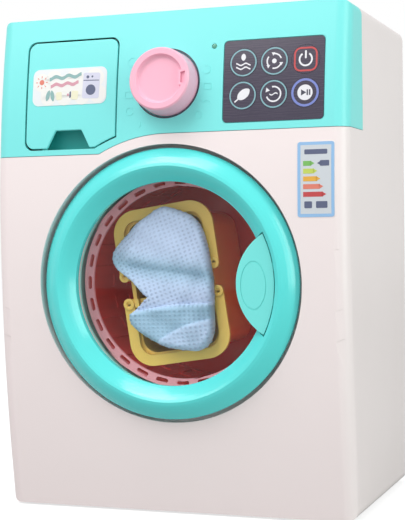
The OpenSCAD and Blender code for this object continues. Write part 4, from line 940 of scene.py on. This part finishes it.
def cloth_front(x, z):
    """Depth of the cloth's front at a place, without its weave."""
    dx, dz = x - CLOTH_MIDDLE[0], z - CLOTH_MIDDLE[1]
    depth = 17.4 - 2.6 * max(0.0, 1 - (dx / 31) ** 2 - (dz / 46) ** 2)
    # The lower lobe laps over the upper one at the tuck.
    below = tuck_height(x) - z
    above = -below
    lobe = soft_step(below, 0.55)
    depth += (1 - lobe) * (1.9 * math.exp(-max(above, 0) / 9.0))
    depth += lobe * (-1.5 + 2.1 * (1 - math.exp(-max(below, 0) / 8.0)))
    # The valley is steeper above than below.
    valley = z - valley_height(x, 134.6)
    fade = soft_step(x + 31, 5) * soft_step(19 - x, 3)
    depth += fade * 2.6 * bell(valley, 3.4 if valley > 0 else 7.5)
    # Left of the crease the cloth falls back.
    left = -past_crease(x, z)
    depth += 0.30 * max(0.0, left - 1.0) * soft_step(z - 131, 4) * (1 - 0.45 * soft_step(left - 12, 4))
    depth += 0.7 * bell(0.4 - left, 1.3) * soft_step(z - 147, 3)
    # A flap is turned up at the lower right, and all of it is a little uneven.
    flap = z - flap_height(x)
    depth -= 1.5 * soft_step(-flap, 0.45) * soft_step(x + 11, 3.5) * soft_step(22.5 - x, 2)
    depth += 0.35 * math.sin(0.21 * x + 0.33 * z) + 0.25 * math.sin(0.47 * x - 0.19 * z + 1.0)
    return depth


def weave_turn(x, z):
    """The turn of the weave's rows, which changes only where a fold parts the cloth."""
    if z < tuck_height(x):
        return math.radians(8 if z < flap_height(x) and x > -11 else 1)
    return math.radians(36 if past_crease(x, z) < 0 and z > 134 else 19)


def flap_height(x):
    return 94.2 + 0.42 * (x + 11.5) + 2.2 * math.sin(math.pi * min(max((x + 11.5) / 32, 0), 1))


def pocket_depth(x, z):
    """Share of the waffle's depth at a place, from 0 on a rib to 1 in a pocket."""
    turn = weave_turn(x, z)
    u = (x * math.cos(turn) + z * math.sin(turn)) / POCKET_PITCH[0]
    v = (-x * math.sin(turn) + z * math.cos(turn)) / POCKET_PITCH[1]
    return max(0.0, math.cos(2 * math.pi * u)) ** 0.6 * max(0.0, math.cos(2 * math.pi * v)) ** 1.5


def cloth_painted_shade(x, z):
    """Share of painted shade on the cloth, drawn as a greener, deeper blue: most in the lower lobe and
    along the valley, less on the turned-up flap.
    """
    lobe = soft_step(tuck_height(x) - z, 0.8)
    flap = soft_step(flap_height(x) - z, 0.8) * soft_step(x + 12, 3)
    valley = bell(z - valley_height(x, 136), 6.5)
    return max(0.0, min(1.0, lobe * (1 - 0.75 * flap) + valley * (1 - lobe)))


def roll_at(run):
    """Plan distance and depth behind the front, where the edge rolls under to a hem behind."""
    flat = CLOTH_SPREAD - CLOTH_ROLL
    roll = math.pi * CLOTH_ROLL
    if run < flat:
        return run, 0.0
    if run < flat + roll:
        turn = (run - flat) / CLOTH_ROLL
        return flat + CLOTH_ROLL * math.sin(turn), CLOTH_ROLL * (1 - math.cos(turn))
    return flat - (run - flat - roll), 2 * CLOTH_ROLL


def make_cloth():
    """A grid drawn to the cloth's outline, rolled under at its edge, folded and woven."""
    bpy.ops.mesh.primitive_grid_add(x_subdivisions=CLOTH_STEPS, y_subdivisions=CLOTH_STEPS, size=2)
    cloth = bpy.context.object
    name_piece(cloth, "waffle_cloth")
    whole = CLOTH_SPREAD - CLOTH_ROLL + math.pi * CLOTH_ROLL + CLOTH_HEM
    middle = Vector(CLOTH_MIDDLE)
    for vertex in cloth.data.vertices:
        u, v = vertex.co.x, vertex.co.y
        a, b = u * math.sqrt(1 - v * v / 2), v * math.sqrt(1 - u * u / 2)
        q = math.hypot(a, b)
        turn = (0.25 - math.atan2(b, a) / (2 * math.pi)) % 1.0
        edge = spline_at(CLOTH_EDGE, turn)
        plan, back = roll_at(q * whole)
        spot = middle + (edge - middle) * (plan / CLOTH_SPREAD)
        x, z = spot
        ahead = cloth_front(x, z)
        if back > 0:
            share = back / (2 * CLOTH_ROLL)
            ahead = ahead * (1 - share) + (CLOTH_BACK - 2 * CLOTH_ROLL) * share
        vertex.co = at(x, ahead + back, z)
    cloth.data.update()
    normals = [vertex.normal.copy() for vertex in cloth.data.vertices]
    if sum(n.y for n in normals[::97]) > 0:
        edit(cloth, whole=True)
        bpy.ops.mesh.flip_normals()
        close()
        normals = [-n for n in normals]
    # The pocket attribute carries the painted shade of the weave's pockets, and the shade attribute the
    # painted shade of the folds.
    pocket = cloth.data.attributes.new("pocket", "FLOAT", "POINT")
    shade = cloth.data.attributes.new("shade", "FLOAT", "POINT")
    for k, (vertex, normal) in enumerate(zip(cloth.data.vertices, normals)):
        x = vertex.co.x / MM
        z = (vertex.co.z - BASE_Z) / MM
        sunk = pocket_depth(x, z)
        pocket.data[k].value = sunk
        shade.data[k].value = cloth_painted_shade(x, z)
        vertex.co += normal * (-POCKET_DEPTH * MM * sunk)
    wall = cloth.modifiers.new("cloth thickness", "SOLIDIFY")
    wall.thickness = CLOTH_THICK * MM
    wall.offset = -1
    apply_all(cloth)
    settle(cloth, FINISH["cloth_blue"], "drum", smooth=60)
    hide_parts("laundry_cloth")


make_cloth()


# Floor

def add_floor():
    """A pale floor that the camera sees as white, but for the object's shadow."""
    bpy.ops.mesh.primitive_plane_add(size=6, location=(0, 0.6, 0))
    floor = bpy.context.object
    floor.name = "floor"
    material, tree, shader = new_material("pale floor")
    surface = group_in(tree, MOULDING, color=(0.4, 0.4, 0.4), roughness=0.8, cloud=0.01, wipe=0.02)
    join_surface(tree, surface, shader)
    rays = node_in(tree, "LightPath")
    glow = math_in(tree, "MULTIPLY", rays.outputs["Is Camera Ray"], 0.72)
    shader.inputs["Emission Color"].default_value = (1, 1, 1, 1)
    tree.links.new(glow, shader.inputs["Emission Strength"])
    floor.data.materials.append(material)


add_camera()
add_light()
add_floor()
